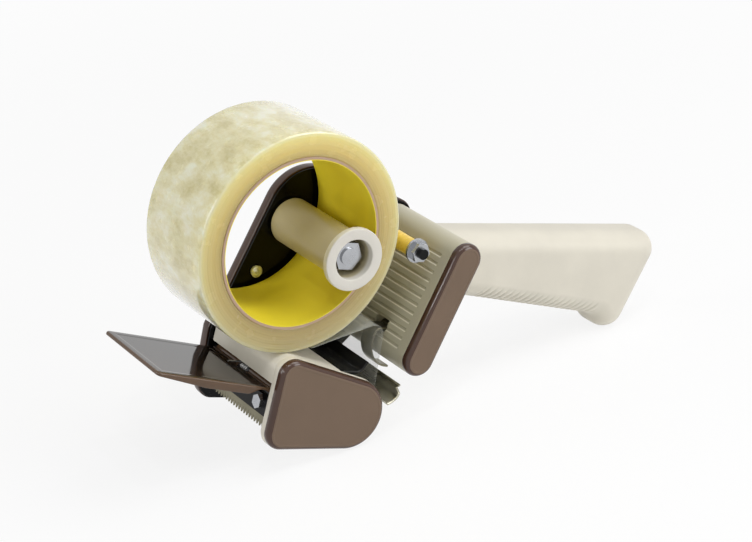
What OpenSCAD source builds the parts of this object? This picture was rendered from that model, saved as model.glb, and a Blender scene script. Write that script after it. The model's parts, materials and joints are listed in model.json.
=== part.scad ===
// Handheld carton-tape dispenser with a loaded roll.
// Side profiles are drawn in the gun's own X-Z plane with the roll axis at its origin,
// then the whole gun is leaned back until its heel and the lobe of its handle stand on Z = 0.
// -Y is the open side that the roll is loaded from, +X runs toward the handle.

/* [Tape roll] */
// Width of the tape
tape_width = 48; // [36:1:50]
// Bore of the tape core
core_bore = 76.2; // [72:0.1:80]
// Printed paper liner inside the core
liner_t = 0.3; // [0.2:0.1:1]
// Wall of the board core
core_wall = 1.2; // [0.8:0.1:4]
// Outside diameter of the loaded roll
roll_od = 101.6; // [92:0.1:110]
// Thickness drawn for one layer of tape
film_t = 0.3; // [0.2:0.05:0.4]

/* [Hub] */
// Outside diameter of the hub sleeve
hub_d = 22; // [18:0.5:28]
// Wall of the hub sleeve
hub_wall = 2.4; // [1.6:0.1:3]
// Diameter of the flange that keeps the roll on
hub_flange_d = 29.2; // [26:0.1:34]
// Thickness of that flange
hub_flange_t = 3; // [2:0.1:4]
// Depth of the nut recess in the hub's open end
hub_recess = 12.6; // [11:0.1:16]
// Diameter of the hub bolt
hub_bolt_d = 8; // [6:0.5:10]
// Angle at which the hub lies below the roll axis
hub_lean = 9.8; // [4:0.1:16]

/* [Frame] */
// Room between the tape and the side walls
side_gap = 2.5; // [2:0.1:4]
// Thickness of the steel side plate
plate_t = 1.2; // [1:0.1:3]
// Radius of the plate round the hub
boss_r = 23; // [20:0.5:26]
// How far the plate's lower corner stands ahead of the head
plate_lead = 2.6; // [2:0.1:9]
// Rim of the plate around the block's foot
block_rim = 2; // [1:0.1:4]
// Rim of the plate around the block's crown
crown_rim = 2; // [1:0.1:5]
// Depth of the far side cover
cover_t = 6.5; // [4:0.1:8]
// Outer skin of the far side cover
cover_skin = 2.1; // [1.5:0.1:2.5]
// Rounding of the rims of cover and caps
rim_e = 2.8; // [1.5:0.1:3]
// Diameter of the frame screws
screw_d = 4; // [3:0.1:5]
// Length of the frame screws under the head
screw_len = 15; // [12:0.5:18]
// Diameter of the cover screws
cover_screw_d = 3; // [2.5:0.1:3.5]

/* [Head] */
// Length of the head over its cheeks
head_length = 60.2; // [56:0.1:66]
// Height of the toe rounding's centre above the sole
head_drop = 35.2; // [33:0.1:40]
// Rounding of the toe under the roll
toe_r = 7.4; // [6:0.1:9]
// Angle from straight down to where the roll rests on the toe
toe_lean = 6.3; // [3:0.1:10]
// Rounding of the heel
heel_r = 16.7; // [15:0.1:18]
// Rounding of the chin
chin_r = 8.5; // [6:0.1:11]
// Wall of the head's top
shell_t = 2.5; // [2:0.1:3]
// Thickness of the near cheek
cheek_t = 3.3; // [2.8:0.1:4.5]
// Thickness of the flange against the side plate
flange_t = 1.8; // [1.4:0.1:2.2]
// Depth of the front wall below the toe centre
mouth_drop = 5.6; // [4.6:0.1:6]
// Thickness of the caps on the near side
cap_t = 4; // [3.5:0.1:6]

/* [Applying roller] */
// How far the cheeks stand out past the tyre
heel_cover = 0.9; // [0.8:0.1:2]
// Rubber on the roller
tyre_t = 4.8; // [3:0.1:6]
// Diameter of the roller axle
axle_d = 6; // [5:0.5:8]

/* [Blade and tongue] */
// Height of the blade
blade_h = 14.9; // [13:0.1:16]
// Thickness of the blade
blade_t = 0.8; // [0.5:0.1:1.2]
// Height of the blade's teeth
tooth_h = 3.2; // [2:0.1:4]
// Pitch of the blade's teeth
tooth_pitch = 2.3; // [2:0.1:3]
// Height of the bar that clamps the blade
bar_h = 9; // [7:0.1:10]
// Thickness of that bar
bar_t = 3; // [2.5:0.1:3.5]
// Reach of the tongue from its hinge
tongue_len = 62.5; // [45:0.5:70]
// Thickness of the tongue
tongue_t = 1.2; // [1:0.1:2]
// Height of the tongue's turned-down sides
tongue_rim_h = 2.8; // [1.5:0.1:4]
// Slope of the tongue toward its tip
tongue_rise = 6.8; // [2:0.1:9]
// Diameter of the hinge pin
hinge_d = 3; // [2.5:0.1:3.2]
// Wire of the tongue's spring
wire_d = 0.9; // [0.7:0.05:1]
// Turns of the tongue's spring
spring_turns = 4; // [3:1:6]

/* [Guides] */
// Clear way between the roll and the guide roller
guide_way = 9.5; // [6:0.1:13]
// Angle of the guide roller below the roll axis
guide_lean = 40; // [37:0.5:43]
// Diameter of the guide roller
guide_d = 10; // [8:0.5:11]
// How far the guide roller stops short of the tape's near edge
guide_short = 24; // [6:0.5:30]
// Diameter of the guide roller's axle
guide_axle_d = 5; // [4:0.5:5.5]
// Sheet of the steel guides
sheet_t = 1.2; // [0.8:0.1:1.4]
// Width of the sprung finger
finger_w = 9; // [6:0.5:12]
// Thickness of the sprung finger
finger_t = 1; // [0.6:0.1:1.2]
// Clear way between the finger and the block's foot
finger_way = 3.2; // [2.6:0.1:4]
// Clear way between the roll and the axis of the stop rod
stop_reach = 14.2; // [12.5:0.1:16]
// Drop of the stop rod below the roll axis
stop_drop = 1; // [0:0.1:4]
// Diameter of the stop rod
stop_d = 5; // [4:0.5:6]
// Wall of the sleeve on the stop rod
sleeve_t = 1.6; // [1:0.1:2.5]

/* [Handle] */
// Clear way between the roll and the centre of the block's foot
foot_reach = 22.2; // [20:0.1:26]
// Drop of the block's foot below the roll axis
foot_drop = 49.8; // [46:0.1:54]
// Length of the block over its round ends
block_len = 66.3; // [62:0.1:72]
// Depth of the block from its grooved front to its back
block_w = 16; // [15.6:0.1:20]
// Lean of the block toward the handle
block_lean = 14.5; // [12:0.1:18]
// Wall of the hollow block
handle_wall = 2.8; // [2.2:0.1:3.5]
// Grooves on the front of the block
groove_n = 12; // [6:1:12]
// How far the grooves stop short of the block's near edge
groove_stop = 6; // [2:0.5:10]
// Pitch of those grooves
groove_pitch = 4.2; // [3:0.1:4.3]
// Length of the grip behind the block
grip_len = 127; // [115:0.1:145]
// Width of the grip
grip_w = 26; // [24:0.5:34]
// Rounding of the grip's edges
grip_e = 10; // [8:0.1:12]
// Depth of the grip at the block
grip_depth = 29.9; // [28:0.1:36]
// Rounding of the grip's upper end
end_r = 10; // [10:0.1:16]
// Rounding of the lobe under the end
lobe_r = 10; // [10:0.1:14]
// Drop of the lobe's centre below the end's centre
lobe_drop = 31.1; // [26:0.1:36]
// How far the lobe stands below the ribs
lobe_stand = 6.8; // [5:0.1:9]
// Ribs under the grip
rib_n = 21; // [10:1:23]
// Pitch of the ribs
rib_pitch = 3.7; // [3:0.1:4]
// Depth of the cuts between the ribs
rib_cut = 1; // [0.4:0.1:1.4]

/* [Fits] */
// Radial clearance of turning fits
run_fit = 0.05; // [0.02:0.01:0.08]
// Radial clearance of fixed fits
set_fit = 0.02; // [0.01:0.01:0.05]
// Air between the roll and what it rests on
rest_gap = 0.4; // [0.3:0.1:1]
// End play of turning pieces
end_play = 0.2; // [0.1:0.1:0.5]

/* [Hidden] */
$fn = 64;

beige = [0.82, 0.79, 0.70];
brown = [0.36, 0.25, 0.20];
black = [0.10, 0.10, 0.10];
steel = [0.70, 0.70, 0.70];
olive = [0.48, 0.46, 0.38];

// Planes across the gun, from the near caps to the far cover
roll_r = roll_od / 2;
half_tape = tape_width / 2;
y_in = half_tape + side_gap;
y_cheek = -y_in;
y_near = y_cheek - cheek_t;
y_cap = y_near - cap_t;
y_flange = y_in - flange_t;
y_plate = y_in + plate_t;
y_cover = y_plate + cover_t;
hollow_t = cover_t - cover_skin;
head_t = hollow_t - 0.3;
y_skin = y_plate + hollow_t;

// Circles of the side profiles, each [x, z, radius], listed anticlockwise
toe_far = roll_r + rest_gap + toe_r;
toe = [toe_far * sin(toe_lean), -toe_far * cos(toe_lean), toe_r];
x_front = toe[0] - toe_r;
z_sole = toe[1] - head_drop;
heel = [x_front + head_length - heel_r, z_sole + heel_r, heel_r];
chin = [x_front + chin_r, z_sole + chin_r, chin_r];
head_side = [toe, chin, heel];
flange_side = [[toe[0] + 13, toe[1] - 4, toe_r + 1], [toe[0] + 12, toe[1] - 22, toe_r],
               [heel[0], heel[1], heel_r - 3]];
z_mouth = toe[1] - mouth_drop;

hub_far = core_bore / 2 - hub_d / 2 - rest_gap;
hub = hub_far * [cos(hub_lean), -sin(hub_lean)];
hub_r = hub_d / 2;
hub_bolt_r = hub_bolt_d / 2;

// Stack along the hub bolt, from the flange's face to the washer at the plate
washer_t = 1.2;
hub_nut_t = 6.2;
y_lip = -half_tape - 1.5 - hub_flange_t;
y_ledge = y_lip + hub_recess;
y_washer = y_ledge - end_play - washer_t;
y_hub = y_in - washer_t - end_play;

block_r = block_w / 2;
block_up = [sin(block_lean), cos(block_lean)];
block_front = [-cos(block_lean), sin(block_lean)];
block_run = block_len - block_w;
foot = [roll_r + foot_reach, -foot_drop];
crown = foot + block_run * block_up;
block_side = [[crown[0], crown[1], block_r], [foot[0], foot[1], block_r]];

corner_r = 6;
cover_side = [
    [hub[0] + 10.2, hub[1] + 3.3, boss_r],
    [x_front - plate_lead + corner_r, toe[1] - 1, corner_r],
    [x_front - plate_lead / 2 + chin_r, chin[1], chin_r],
    heel,
    [foot[0], foot[1], block_r + block_rim],
    [crown[0], crown[1], block_r + crown_rim]];
plate_edge = 0.8;

// Grip: upper end, lobe, and the two roundings buried in the block
grip_end = [crown[0] + grip_len, crown[1] + 2, end_r];
lobe = [grip_end[0] - 8.9, grip_end[1] - lobe_drop, lobe_r];
grip_root = [crown[0] + 4.1, crown[1] + 5.8 - grip_e, grip_e];
grip_keel = [crown[0] + 5.1, grip_root[1] + 2 * grip_e - grip_depth, grip_e];
grip_heel = [grip_end[0] - 22.5, lobe[1] - lobe_r + lobe_stand + grip_e, grip_e];
grip_side = [grip_root, grip_keel, grip_heel, grip_end];
limb_side = [lobe, grip_end];

// The gun leans back until heel and lobe stand on one line
lean_far = norm([lobe[0] - heel[0], lobe[1] - heel[1]]);
lean = atan2(lobe[1] - heel[1], lobe[0] - heel[0]) + asin((heel_r - lobe_r) / lean_far);
function leaned(p) = [p[0] * cos(lean) + p[1] * sin(lean), p[1] * cos(lean) - p[0] * sin(lean)];
lift = heel_r - leaned(heel)[1];

// Hinge of the tongue and its local frame, +u toward the tip and +v down
pin_r = hinge_d / 2;
knuckle_r = pin_r + 1.3;
hinge = [x_front + 4.2, z_mouth - 3.8];
tongue_u = [-cos(tongue_rise), sin(tongue_rise)];
tongue_v = [-sin(tongue_rise), -cos(tongue_rise)];
y_tongue = y_cheek + 0.6;
tongue_w = y_flange - 0.5 - y_tongue;
knuckle_gap = 10;
tongue_edge = 1.2;
tongue_root = knuckle_r + 0.8;
tip_rim = 0.4;
tip_low = hinge + tongue_len * tongue_u + (tongue_t / 2 + tip_rim) * tongue_v;
mid_x = (leaned(tip_low)[0] + leaned(grip_end)[0] + end_r) / 2;
mid_y = (y_cover + y_cap) / 2;

// Roller, guides and stop
tyre_r = heel_r - heel_cover;
rim_r = tyre_r - tyre_t;
axle_r = axle_d / 2;
roller_lo = y_cheek + 1;
roller_hi = y_flange - 1;
guide_r = guide_d / 2;
guide_far = roll_r + guide_way + guide_r;
guide = guide_far * [cos(guide_lean), -sin(guide_lean)];
guide_axle_r = guide_axle_d / 2;
guide_lo = -half_tape + guide_short;
guide_hi = half_tape - 2;
clip_t = 0.8;
y_clip = guide_lo - end_play - clip_t;
stop = [roll_r + stop_reach, -stop_drop];
stop_r = stop_d / 2;
stop_nut_t = 3.2;
rod_end = 2;
y_stop = -half_tape + 3.6;
finger_mid = block_r + finger_way + finger_t / 2;
finger_up = 6.3;
finger_eye_r = 2;
finger_eye = foot + finger_up * block_up + (block_r - 2.7 * finger_eye_r) * block_front;
finger_y = -1.5 - finger_w / 2;
finger_pin_r = 1;
finger_pin_half = finger_w / 2 + 3;

// Blade bar and blade, both upright across the mouth
bar_x = x_front + 1.5;
bar_z = z_mouth - 7.8;
blade_x = bar_x + bar_t;
blade_top = bar_z - 1;
blade_w = tape_width - 4;
bolt_y = tape_width / 2 - 4;
bolt_z = bar_z - 3.5;
bolt_r = 1.9;
bolt_head_t = 2.6;
bolt_head_r = 3.4;
bolt_nut_t = 3;
bolt_end = 1.1;

// Places of the fasteners on the side plate
head_posts = [[toe[0] + 13.6, toe[1] - 6], [toe[0] + 11.6, toe[1] - 21.8]];
block_posts = [foot, crown];
frame_posts = concat(head_posts, block_posts);
bore_post = (core_bore / 2 - 5.1) * [cos(65), -sin(65)];
cover_posts = [bore_post, stop - [7, 7.5], guide + [8.3, 2.7]];
post_r = screw_d / 2 + 2.4;
screw_r = screw_d / 2;
cover_screw_r = cover_screw_d / 2;

// Outer tangent of two circles, on the right of the way from a to b
function tangent(a, b) =
    let (d = [b[0] - a[0], b[1] - a[1]], l = norm(d), u = d / l, s = (a[2] - b[2]) / l,
         n = [u[1], -u[0]] * sqrt(1 - s * s) + u * s)
    [[a[0], a[1]] + a[2] * n, [b[0], b[1]] + b[2] * n];
function next(i, n) = (i + 1) % n;
function shrink(cs, e) = [for (c = cs) [c[0], c[1], max(c[2] - e, 0.05)]];
function tangents(cs) = [for (i = [0:len(cs) - 1]) tangent(cs[i], cs[next(i, len(cs))])];
function arc(c, r, a0, a1, n) =
    [for (k = [0:n]) let (a = a0 + (a1 - a0) * k / n) [c[0], c[1]] + r * [cos(a), sin(a)]];
function heading(p, i) =
    let (a = p[max(i - 1, 0)], b = p[min(i + 1, len(p) - 1)]) (b - a) / norm(b - a);
function beside(p, d) = [for (i = [0:len(p) - 1]) let (h = heading(p, i)) p[i] + d * [-h[1], h[0]]];
function backward(p) = [for (i = [len(p) - 1:-1:0]) p[i]];
function bearing(v) = atan2(v[1], v[0]);

// Points round a chain of circles, coarser on the small ones
function rounded(cs, step) =
    let (n = len(cs), ts = tangents(cs))
    [for (i = [0:n - 1])
        let (c = [cs[i][0], cs[i][1]], a = bearing(ts[(i + n - 1) % n][1] - c),
             turn = (bearing(ts[i][0] - c) - a + 720) % 360,
             k = max(1, ceil(turn / step * min(1, cs[i][2] / 4))))
        for (p = arc(c, cs[i][2], a, a + turn, k)) p];

// Leaned pose on the table
module seat() {
    translate([-mid_x, -mid_y, lift])
        rotate([0, lean, 0])
            children();
}

// Profile drawn in X-Z, its thickness running from plane y toward the near side
module side(y) {
    translate([0, y, 0])
        rotate([90, 0, 0])
            children();
}

// Profile drawn in X-Z, its thickness running from plane y toward the far side
module far_side(y) {
    translate([0, y, 0])
        mirror([0, 1, 0])
            rotate([90, 0, 0])
                children();
}

// Round bar across the gun at p, between two planes
module across(p, y0, y1, r, n = 64) {
    translate([p[0], y1, p[1]])
        rotate([90, 0, 0])
            cylinder(h = y1 - y0, r = r, $fn = n);
}

module outline(cs, step = 5) {
    polygon(rounded(cs, step));
}

// Section of the grip from its underside inward, both edges rounded
module grip_section() {
    translate([grip_e, 0])
        square([grip_e, grip_w]);
    translate([0, grip_e])
        square([2 * grip_e, grip_w - 2 * grip_e]);
    for (y = [grip_e, grip_w - grip_e])
        translate([grip_e, y])
            circle(grip_e);
}

// Plate with a rounded rim on its front, or on both faces, round a chain of circles
module rimmed(cs, t, e, both = false) {
    steps = 5;
    film = 0.05;
    low = both ? e : 0;
    hull() {
        translate([0, 0, low])
            linear_extrude(t - e - low)
                disks(cs);
        for (k = [1:steps])
            let (inset = e * (1 - cos(90 * k / steps)), up = e * sin(90 * k / steps)) {
                translate([0, 0, t - e + up - film])
                    linear_extrude(film)
                        disks(shrink(cs, inset));
                if (both)
                    translate([0, 0, e - up])
                        linear_extrude(film)
                            disks(shrink(cs, inset));
            }
    }
}

module disks(cs) {
    for (c = cs)
        translate([c[0], c[1]])
            circle(c[2], $fn = 48);
}

// Strip of even thickness along a path
module strip(path, t) {
    polygon(concat(beside(path, t / 2), backward(beside(path, -t / 2))));
}

// Steel side plate that carries the hub, the head and the handle
module side_plate() {
    color(black)
        seat()
            difference() {
                side(y_plate)
                    linear_extrude(plate_t)
                        outline(shrink(cover_side, plate_edge));
                across(hub, y_in - 1, y_plate + 1, hub_bolt_r + set_fit);
                across(heel, y_in - 1, y_plate + 1, axle_r + set_fit);
                across(hinge, y_in - 1, y_plate + 1, pin_r + set_fit);
                across(guide, y_in - 1, y_plate + 1, guide_axle_r + set_fit);
                across(stop, y_in - 1, y_plate + 1, stop_r + set_fit);
                for (p = frame_posts)
                    across(p, y_in - 1, y_plate + 1, screw_r + set_fit);
                for (p = cover_posts)
                    across(p, y_in - 1, y_plate + 1, cover_screw_r + set_fit);
            }
}

// Moulded cover over the plate, hollow for the heads of bolts and screws
module side_cover() {
    color(brown)
        seat()
            difference() {
                far_side(y_plate)
                    rimmed(cover_side, cover_t, rim_e);
                difference() {
                    side(y_skin)
                        linear_extrude(hollow_t + 1)
                            outline(shrink(cover_side, rim_e + 0.6));
                    for (p = cover_posts)
                        across(p, y_plate - 2, y_cover, cover_screw_r + 1.8);
                }
                for (p = cover_posts)
                    across(p, y_plate - 1, y_skin, cover_screw_r + set_fit);
            }
}

module cover_screws() {
    color([0.75, 0.68, 0.40])
        seat()
            for (p = cover_posts) {
                across(p, y_in - 1.4, y_in, cover_screw_r + 1.1);
                across(p, y_in - 0.5, y_skin - 0.3, cover_screw_r);
            }
}

module frame_screws() {
    color(steel)
        seat()
            for (p = frame_posts) {
                across(p, y_plate, y_plate + head_t, screw_r + 1.8);
                across(p, y_plate - screw_len, y_plate + 0.5, screw_r);
            }
}

// Near cheek, top and front wall, and a screwed flange against the plate, in one moulding
module head_shell() {
    color(beige)
        seat()
            difference() {
                union() {
                    side(y_cheek)
                        linear_extrude(cheek_t)
                            outline(head_side);
                    side(y_in)
                        linear_extrude(flange_t)
                            outline(shrink(flange_side, plate_edge));
                    side(y_in)
                        linear_extrude(y_in - y_cheek + 0.5)
                            intersection() {
                                difference() {
                                    outline(head_side);
                                    outline(shrink(head_side, shell_t));
                                }
                                translate([x_front - 1, z_mouth])
                                    square([roller_end() - x_front + 1, 2 * head_drop]);
                            }
                    for (p = head_posts)
                        across(p, y_plate - screw_len - 1, y_flange + 0.5, post_r);
                }
                across(heel, y_near - 1, y_in + 1, axle_r + set_fit);
                across(hinge, y_cheek - 2, y_cheek + 1, pin_r + set_fit);
                for (p = head_posts)
                    across(p, y_plate - screw_len - 0.4, y_in + 1, screw_r + set_fit);
                for (p = cap_pegs())
                    across(p, y_near - 1, y_near + 2.4, peg_r() + set_fit);
            }
}

// Where the head's top stops short of the roller
function roller_end() = heel[0] - 8;
function peg_r() = 1.8;
function cap_pegs() = [[toe[0] + 1, toe[1]], [chin[0] + 1, chin[1] + 1], [heel[0] - 12.6, heel[1] + 12.4]];

module head_cap() {
    color(brown)
        seat() {
            side(y_near)
                rimmed(head_side, cap_t, rim_e);
            for (p = cap_pegs())
                across(p, y_near - 0.5, y_near + 2, peg_r());
        }
}

// Rubber tyre of the roller that lays the tape down
module roller_tyre() {
    color([0.16, 0.16, 0.16])
        seat()
            difference() {
                across(heel, roller_lo + 0.4, roller_hi - 0.4, tyre_r);
                across(heel, roller_lo, roller_hi, rim_r + set_fit);
            }
}

module roller_core() {
    web_far = (rim_r + axle_r) / 2 + 0.2;
    web_r = (rim_r - axle_r) / 2 - 1.8;
    color([0.85, 0.85, 0.82])
        seat()
            difference() {
                across(heel, roller_lo, roller_hi, rim_r);
                across(heel, roller_lo - 1, roller_hi + 1, axle_r + run_fit);
                for (a = [0:60:300])
                    across([heel[0] + web_far * cos(a), heel[1] + web_far * sin(a)],
                           roller_lo - 1, roller_lo + 14, web_r);
            }
}

module roller_axle() {
    color(steel)
        seat() {
            across(heel, y_near, y_plate + 0.5, axle_r);
            across(heel, y_plate, y_plate + head_t, axle_r + 2);
        }
}

// Serrated blade behind its bar, teeth down
module blade() {
    teeth = floor(blade_w / tooth_pitch);
    half = teeth * tooth_pitch / 2;
    root = blade_top - blade_h + tooth_h;
    edge = [for (i = [0:teeth - 1]) for (k = [0, 1])
        [-half + (i + k / 2) * tooth_pitch, root - k * tooth_h]];
    color(olive)
        seat()
            difference() {
                translate([blade_x, 0, 0])
                    rotate([90, 0, 90])
                        linear_extrude(blade_t)
                            polygon(concat([[half, blade_top], [-half, blade_top]], edge, [[half, root]]));
                bolt_holes();
            }
}

module bolt_holes() {
    for (s = [-1, 1])
        translate([bar_x - 1, s * bolt_y, bolt_z])
            rotate([0, 90, 0])
                cylinder(h = bar_t + blade_t + 2, r = bolt_r + set_fit);
}

// Bar between cheek and plate that the blade is bolted to
module blade_bar() {
    color(black)
        seat()
            difference() {
                side(y_in)
                    linear_extrude(y_in - y_cheek)
                        translate([bar_x, bar_z - bar_h])
                            square([bar_t, bar_h]);
                bolt_holes();
            }
}

module blade_bolts() {
    color(steel)
        seat()
            for (s = [-1, 1])
                translate([bar_x, s * bolt_y, bolt_z]) {
                    translate([-bolt_head_t, 0, 0])
                        rotate([0, 90, 0])
                            cylinder(h = bolt_head_t, r = bolt_head_r, $fn = 6);
                    translate([-0.5, 0, 0])
                        rotate([0, 90, 0])
                            cylinder(h = 0.5 + bar_t + blade_t + bolt_nut_t + bolt_end, r = bolt_r);
                }
}

module blade_nuts() {
    color(steel)
        seat()
            for (s = [-1, 1])
                translate([blade_x + blade_t, s * bolt_y, bolt_z])
                    rotate([0, 90, 0])
                        difference() {
                            cylinder(h = bolt_nut_t, r = bolt_head_r, $fn = 6);
                            translate([0, 0, -1])
                                cylinder(h = bolt_nut_t + 2, r = bolt_r + set_fit);
                        }
}

// Local frame of the tongue in the side profile
module tongue_frame() {
    translate([hinge[0], hinge[1]])
        rotate(180 - tongue_rise)
            children();
}

// Wiper plate with its sides turned down, less toward the tip, and two hinge knuckles
module tongue() {
    side_rim = 10;
    rim_run = 26;
    half_gap = knuckle_gap / 2;
    y_top = y_tongue + tongue_w;
    rim_v = tongue_t / 2 + tongue_rim_h;
    tip_v = tongue_t / 2 + tip_rim;
    color([0.33, 0.25, 0.20])
        seat()
            difference() {
                union() {
                    side(y_top)
                        linear_extrude(tongue_w)
                            tongue_frame()
                                translate([tongue_root, -tongue_t / 2])
                                    square([tongue_len - tongue_root, tongue_t]);
                    for (y = [y_top, y_tongue + tongue_edge])
                        side(y)
                            linear_extrude(tongue_edge)
                                tongue_frame()
                                    polygon([[side_rim, 0], [tongue_len, 0], [tongue_len, tip_v],
                                             [tongue_len - rim_run, rim_v], [side_rim, rim_v]]);
                    for (y = [[half_gap, y_top], [y_tongue, -half_gap]]) {
                        side(y[1])
                            linear_extrude(y[1] - y[0])
                                tongue_frame()
                                    translate([0, -tongue_t / 2])
                                        square([tongue_root + 0.5, tongue_t]);
                        across(hinge, y[0], y[1], knuckle_r);
                    }
                }
                across(hinge, y_tongue - 1, y_top + 1, pin_r + run_fit);
            }
}

module tongue_pin() {
    color(steel)
        seat()
            across(hinge, y_cheek - 1.8, y_plate, pin_r);
}

// Torsion spring round the pin: one leg up behind the blade, coils, one leg out over the tongue
module tongue_spring() {
    coil_r = pin_r + 0.45 + wire_d / 2;
    pitch = wire_d + 0.5;
    per_turn = 12;
    steps = floor(per_turn * (spring_turns + 0.25));
    y0 = -pitch * steps / per_turn / 2;
    coil = [for (k = [0:steps]) let (a = 360 * k / per_turn)
        [hinge[0] + coil_r * cos(a), y0 + pitch * k / per_turn, hinge[1] + coil_r * sin(a)]];
    out = [for (k = [0:steps]) let (a = 360 * k / per_turn) [cos(a), 0, sin(a)]];
    path = concat([coil[0] - [0, 0, 7], coil[0] - [0, 0, 3]], coil,
        [coil[steps] - [4, 0, 0], coil[steps] - [9, 0, 0]]);
    away = concat([out[0], out[0]], out, [out[steps], out[steps]]);
    gap = min([for (k = [0:steps - per_turn]) norm(coil[k + per_turn] - coil[k])]) - wire_d;
    echo(spring_gap = gap);
    color(steel)
        seat()
            tube(path, away, wire_d / 2, 6);
}

// Closed tube of n sides along a path, with a chosen outward direction at each ring
module tube(path, away, r, n) {
    last = len(path) - 1;
    rings = [for (i = [0:last])
        let (d = path[min(i + 1, last)] - path[max(i - 1, 0)], b = cross(d / norm(d), away[i]))
        for (k = [0:n - 1]) path[i] + r * (cos(360 * k / n) * away[i] + sin(360 * k / n) * b / norm(b))];
    walls = [for (i = [0:last - 1]) for (k = [0:n - 1])
        let (a = i * n + k, b = i * n + next(k, n)) for (f = [[a, a + n, b], [b, a + n, b + n]]) f];
    ends = [for (k = [1:n - 2]) for (f = [[0, k, k + 1], [last * n, last * n + k + 1, last * n + k]]) f];
    polyhedron(points = rings, faces = concat(walls, ends));
}

// Black plate that closes the head's top behind the shell, with its rear edge turned up
module guide_plate() {
    plate_bend = 3;
    flap = 4;
    flap_lean = 28;
    top = heel[1] + tyre_r + 2.3;
    x0 = roller_end() + 0.6;
    bow = arc([heel[0] + 5.5 - plate_bend, top + plate_bend], plate_bend, -90, -flap_lean, 6);
    path = concat([[x0, top]], bow, [bow[6] + flap * [sin(flap_lean), cos(flap_lean)]]);
    color(black)
        seat()
            side(y_in)
                linear_extrude(y_in - y_cheek - 0.6)
                    strip(path, 1.4);
}

// Bowed steel guide behind the roller, with a notch in its near edge
module rear_guide() {
    top = [heel[0] + 21.6, heel[1] + 15.2];
    knee = [heel[0] + heel_r + 8.5, heel[1] + 9.2];
    low = [heel[0] + heel_r + 1, heel[1] + 5.7];
    bend = [for (k = [0:12]) let (t = k / 12)
        (1 - t) * (1 - t) * top + 2 * t * (1 - t) * knee + t * t * low];
    notch_w = 3.6;
    notch_d = 4;
    notch = heel[1] + 12.9;
    color(olive)
        seat()
            difference() {
                side(y_in)
                    linear_extrude(y_in - y_cap)
                        strip(bend, sheet_t);
                translate([heel[0] + 2 * heel_r, y_cap, notch])
                    rotate([0, 90, 180])
                        linear_extrude(heel_r)
                            polygon([[-notch_w / 2, 1], [notch_w / 2, 1], [0, 1 - notch_d]]);
            }
}

// Roller that turns the tape down behind the head
module guide_roller() {
    color([0.2, 0.2, 0.2])
        seat()
            difference() {
                across(guide, guide_lo, guide_hi, guide_r);
                across(guide, guide_lo - 1, guide_hi + 1, guide_axle_r + run_fit);
            }
}

module guide_axle() {
    color(steel)
        seat() {
            across(guide, y_clip - 2, y_plate + 0.5, guide_axle_r);
            across(guide, guide_hi + end_play, y_in, guide_axle_r + 1.5);
            across(guide, y_plate, y_plate + head_t, guide_axle_r + 1.5);
        }
}

// Open spring clip that keeps the roller on its axle
module guide_clip() {
    color(steel)
        seat()
            difference() {
                across(guide, y_clip, y_clip + clip_t, guide_axle_r + 1.6);
                across(guide, y_clip - 1, y_clip + clip_t + 1, guide_axle_r + set_fit);
                translate([guide[0], y_clip, guide[1] - 5])
                    cube([1.6 * guide_axle_r, 4, 10], center = true);
            }
}

// Sprung finger: an eye in the block's slot, a hook, then a sweep round the block's foot
module finger() {
    front = foot[0] - finger_mid;
    bend = 3.4;
    path = concat([[finger_eye[0] - 1, finger_eye[1]]],
        arc([front + bend, finger_eye[1] - bend], bend, 90, 180, 8),
        arc(foot, finger_mid, 180, 272, 14));
    color(olive)
        seat()
            difference() {
                union() {
                    side(finger_y + finger_w / 2)
                        linear_extrude(finger_w)
                            strip(path, finger_t);
                    across(finger_eye, finger_y - finger_w / 2, finger_y + finger_w / 2, finger_eye_r);
                }
                across(finger_eye, finger_y - finger_w, finger_y + finger_w, finger_pin_r + run_fit);
            }
}

module finger_pin() {
    color(steel)
        seat()
            across(finger_eye, finger_y - finger_pin_half, finger_y + finger_pin_half, finger_pin_r);
}

// Rod behind the roll with a turning sleeve, a washer and a nut
module stop_rod() {
    color(black)
        seat() {
            across(stop, y_stop - washer_t - stop_nut_t - rod_end, y_plate + 0.5, stop_r);
            across(stop, y_plate, y_plate + head_t, stop_r + 2);
        }
}

module stop_sleeve() {
    color([0.85, 0.65, 0.10])
        seat()
            difference() {
                across(stop, y_stop + end_play, y_in - end_play, stop_r + sleeve_t);
                across(stop, y_stop - 1, y_in + 1, stop_r + run_fit);
            }
}

module stop_washer() {
    color(steel)
        seat()
            difference() {
                across(stop, y_stop - washer_t, y_stop, stop_r + 3.2);
                across(stop, y_stop - washer_t - 1, y_stop + 1, stop_r + set_fit);
            }
}

module stop_nut() {
    color(steel)
        seat()
            difference() {
                across(stop, y_stop - washer_t - stop_nut_t, y_stop - washer_t, stop_r + 2.2, 6);
                across(stop, y_stop - washer_t - stop_nut_t - 1, y_stop, stop_r + set_fit);
            }
}

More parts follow.
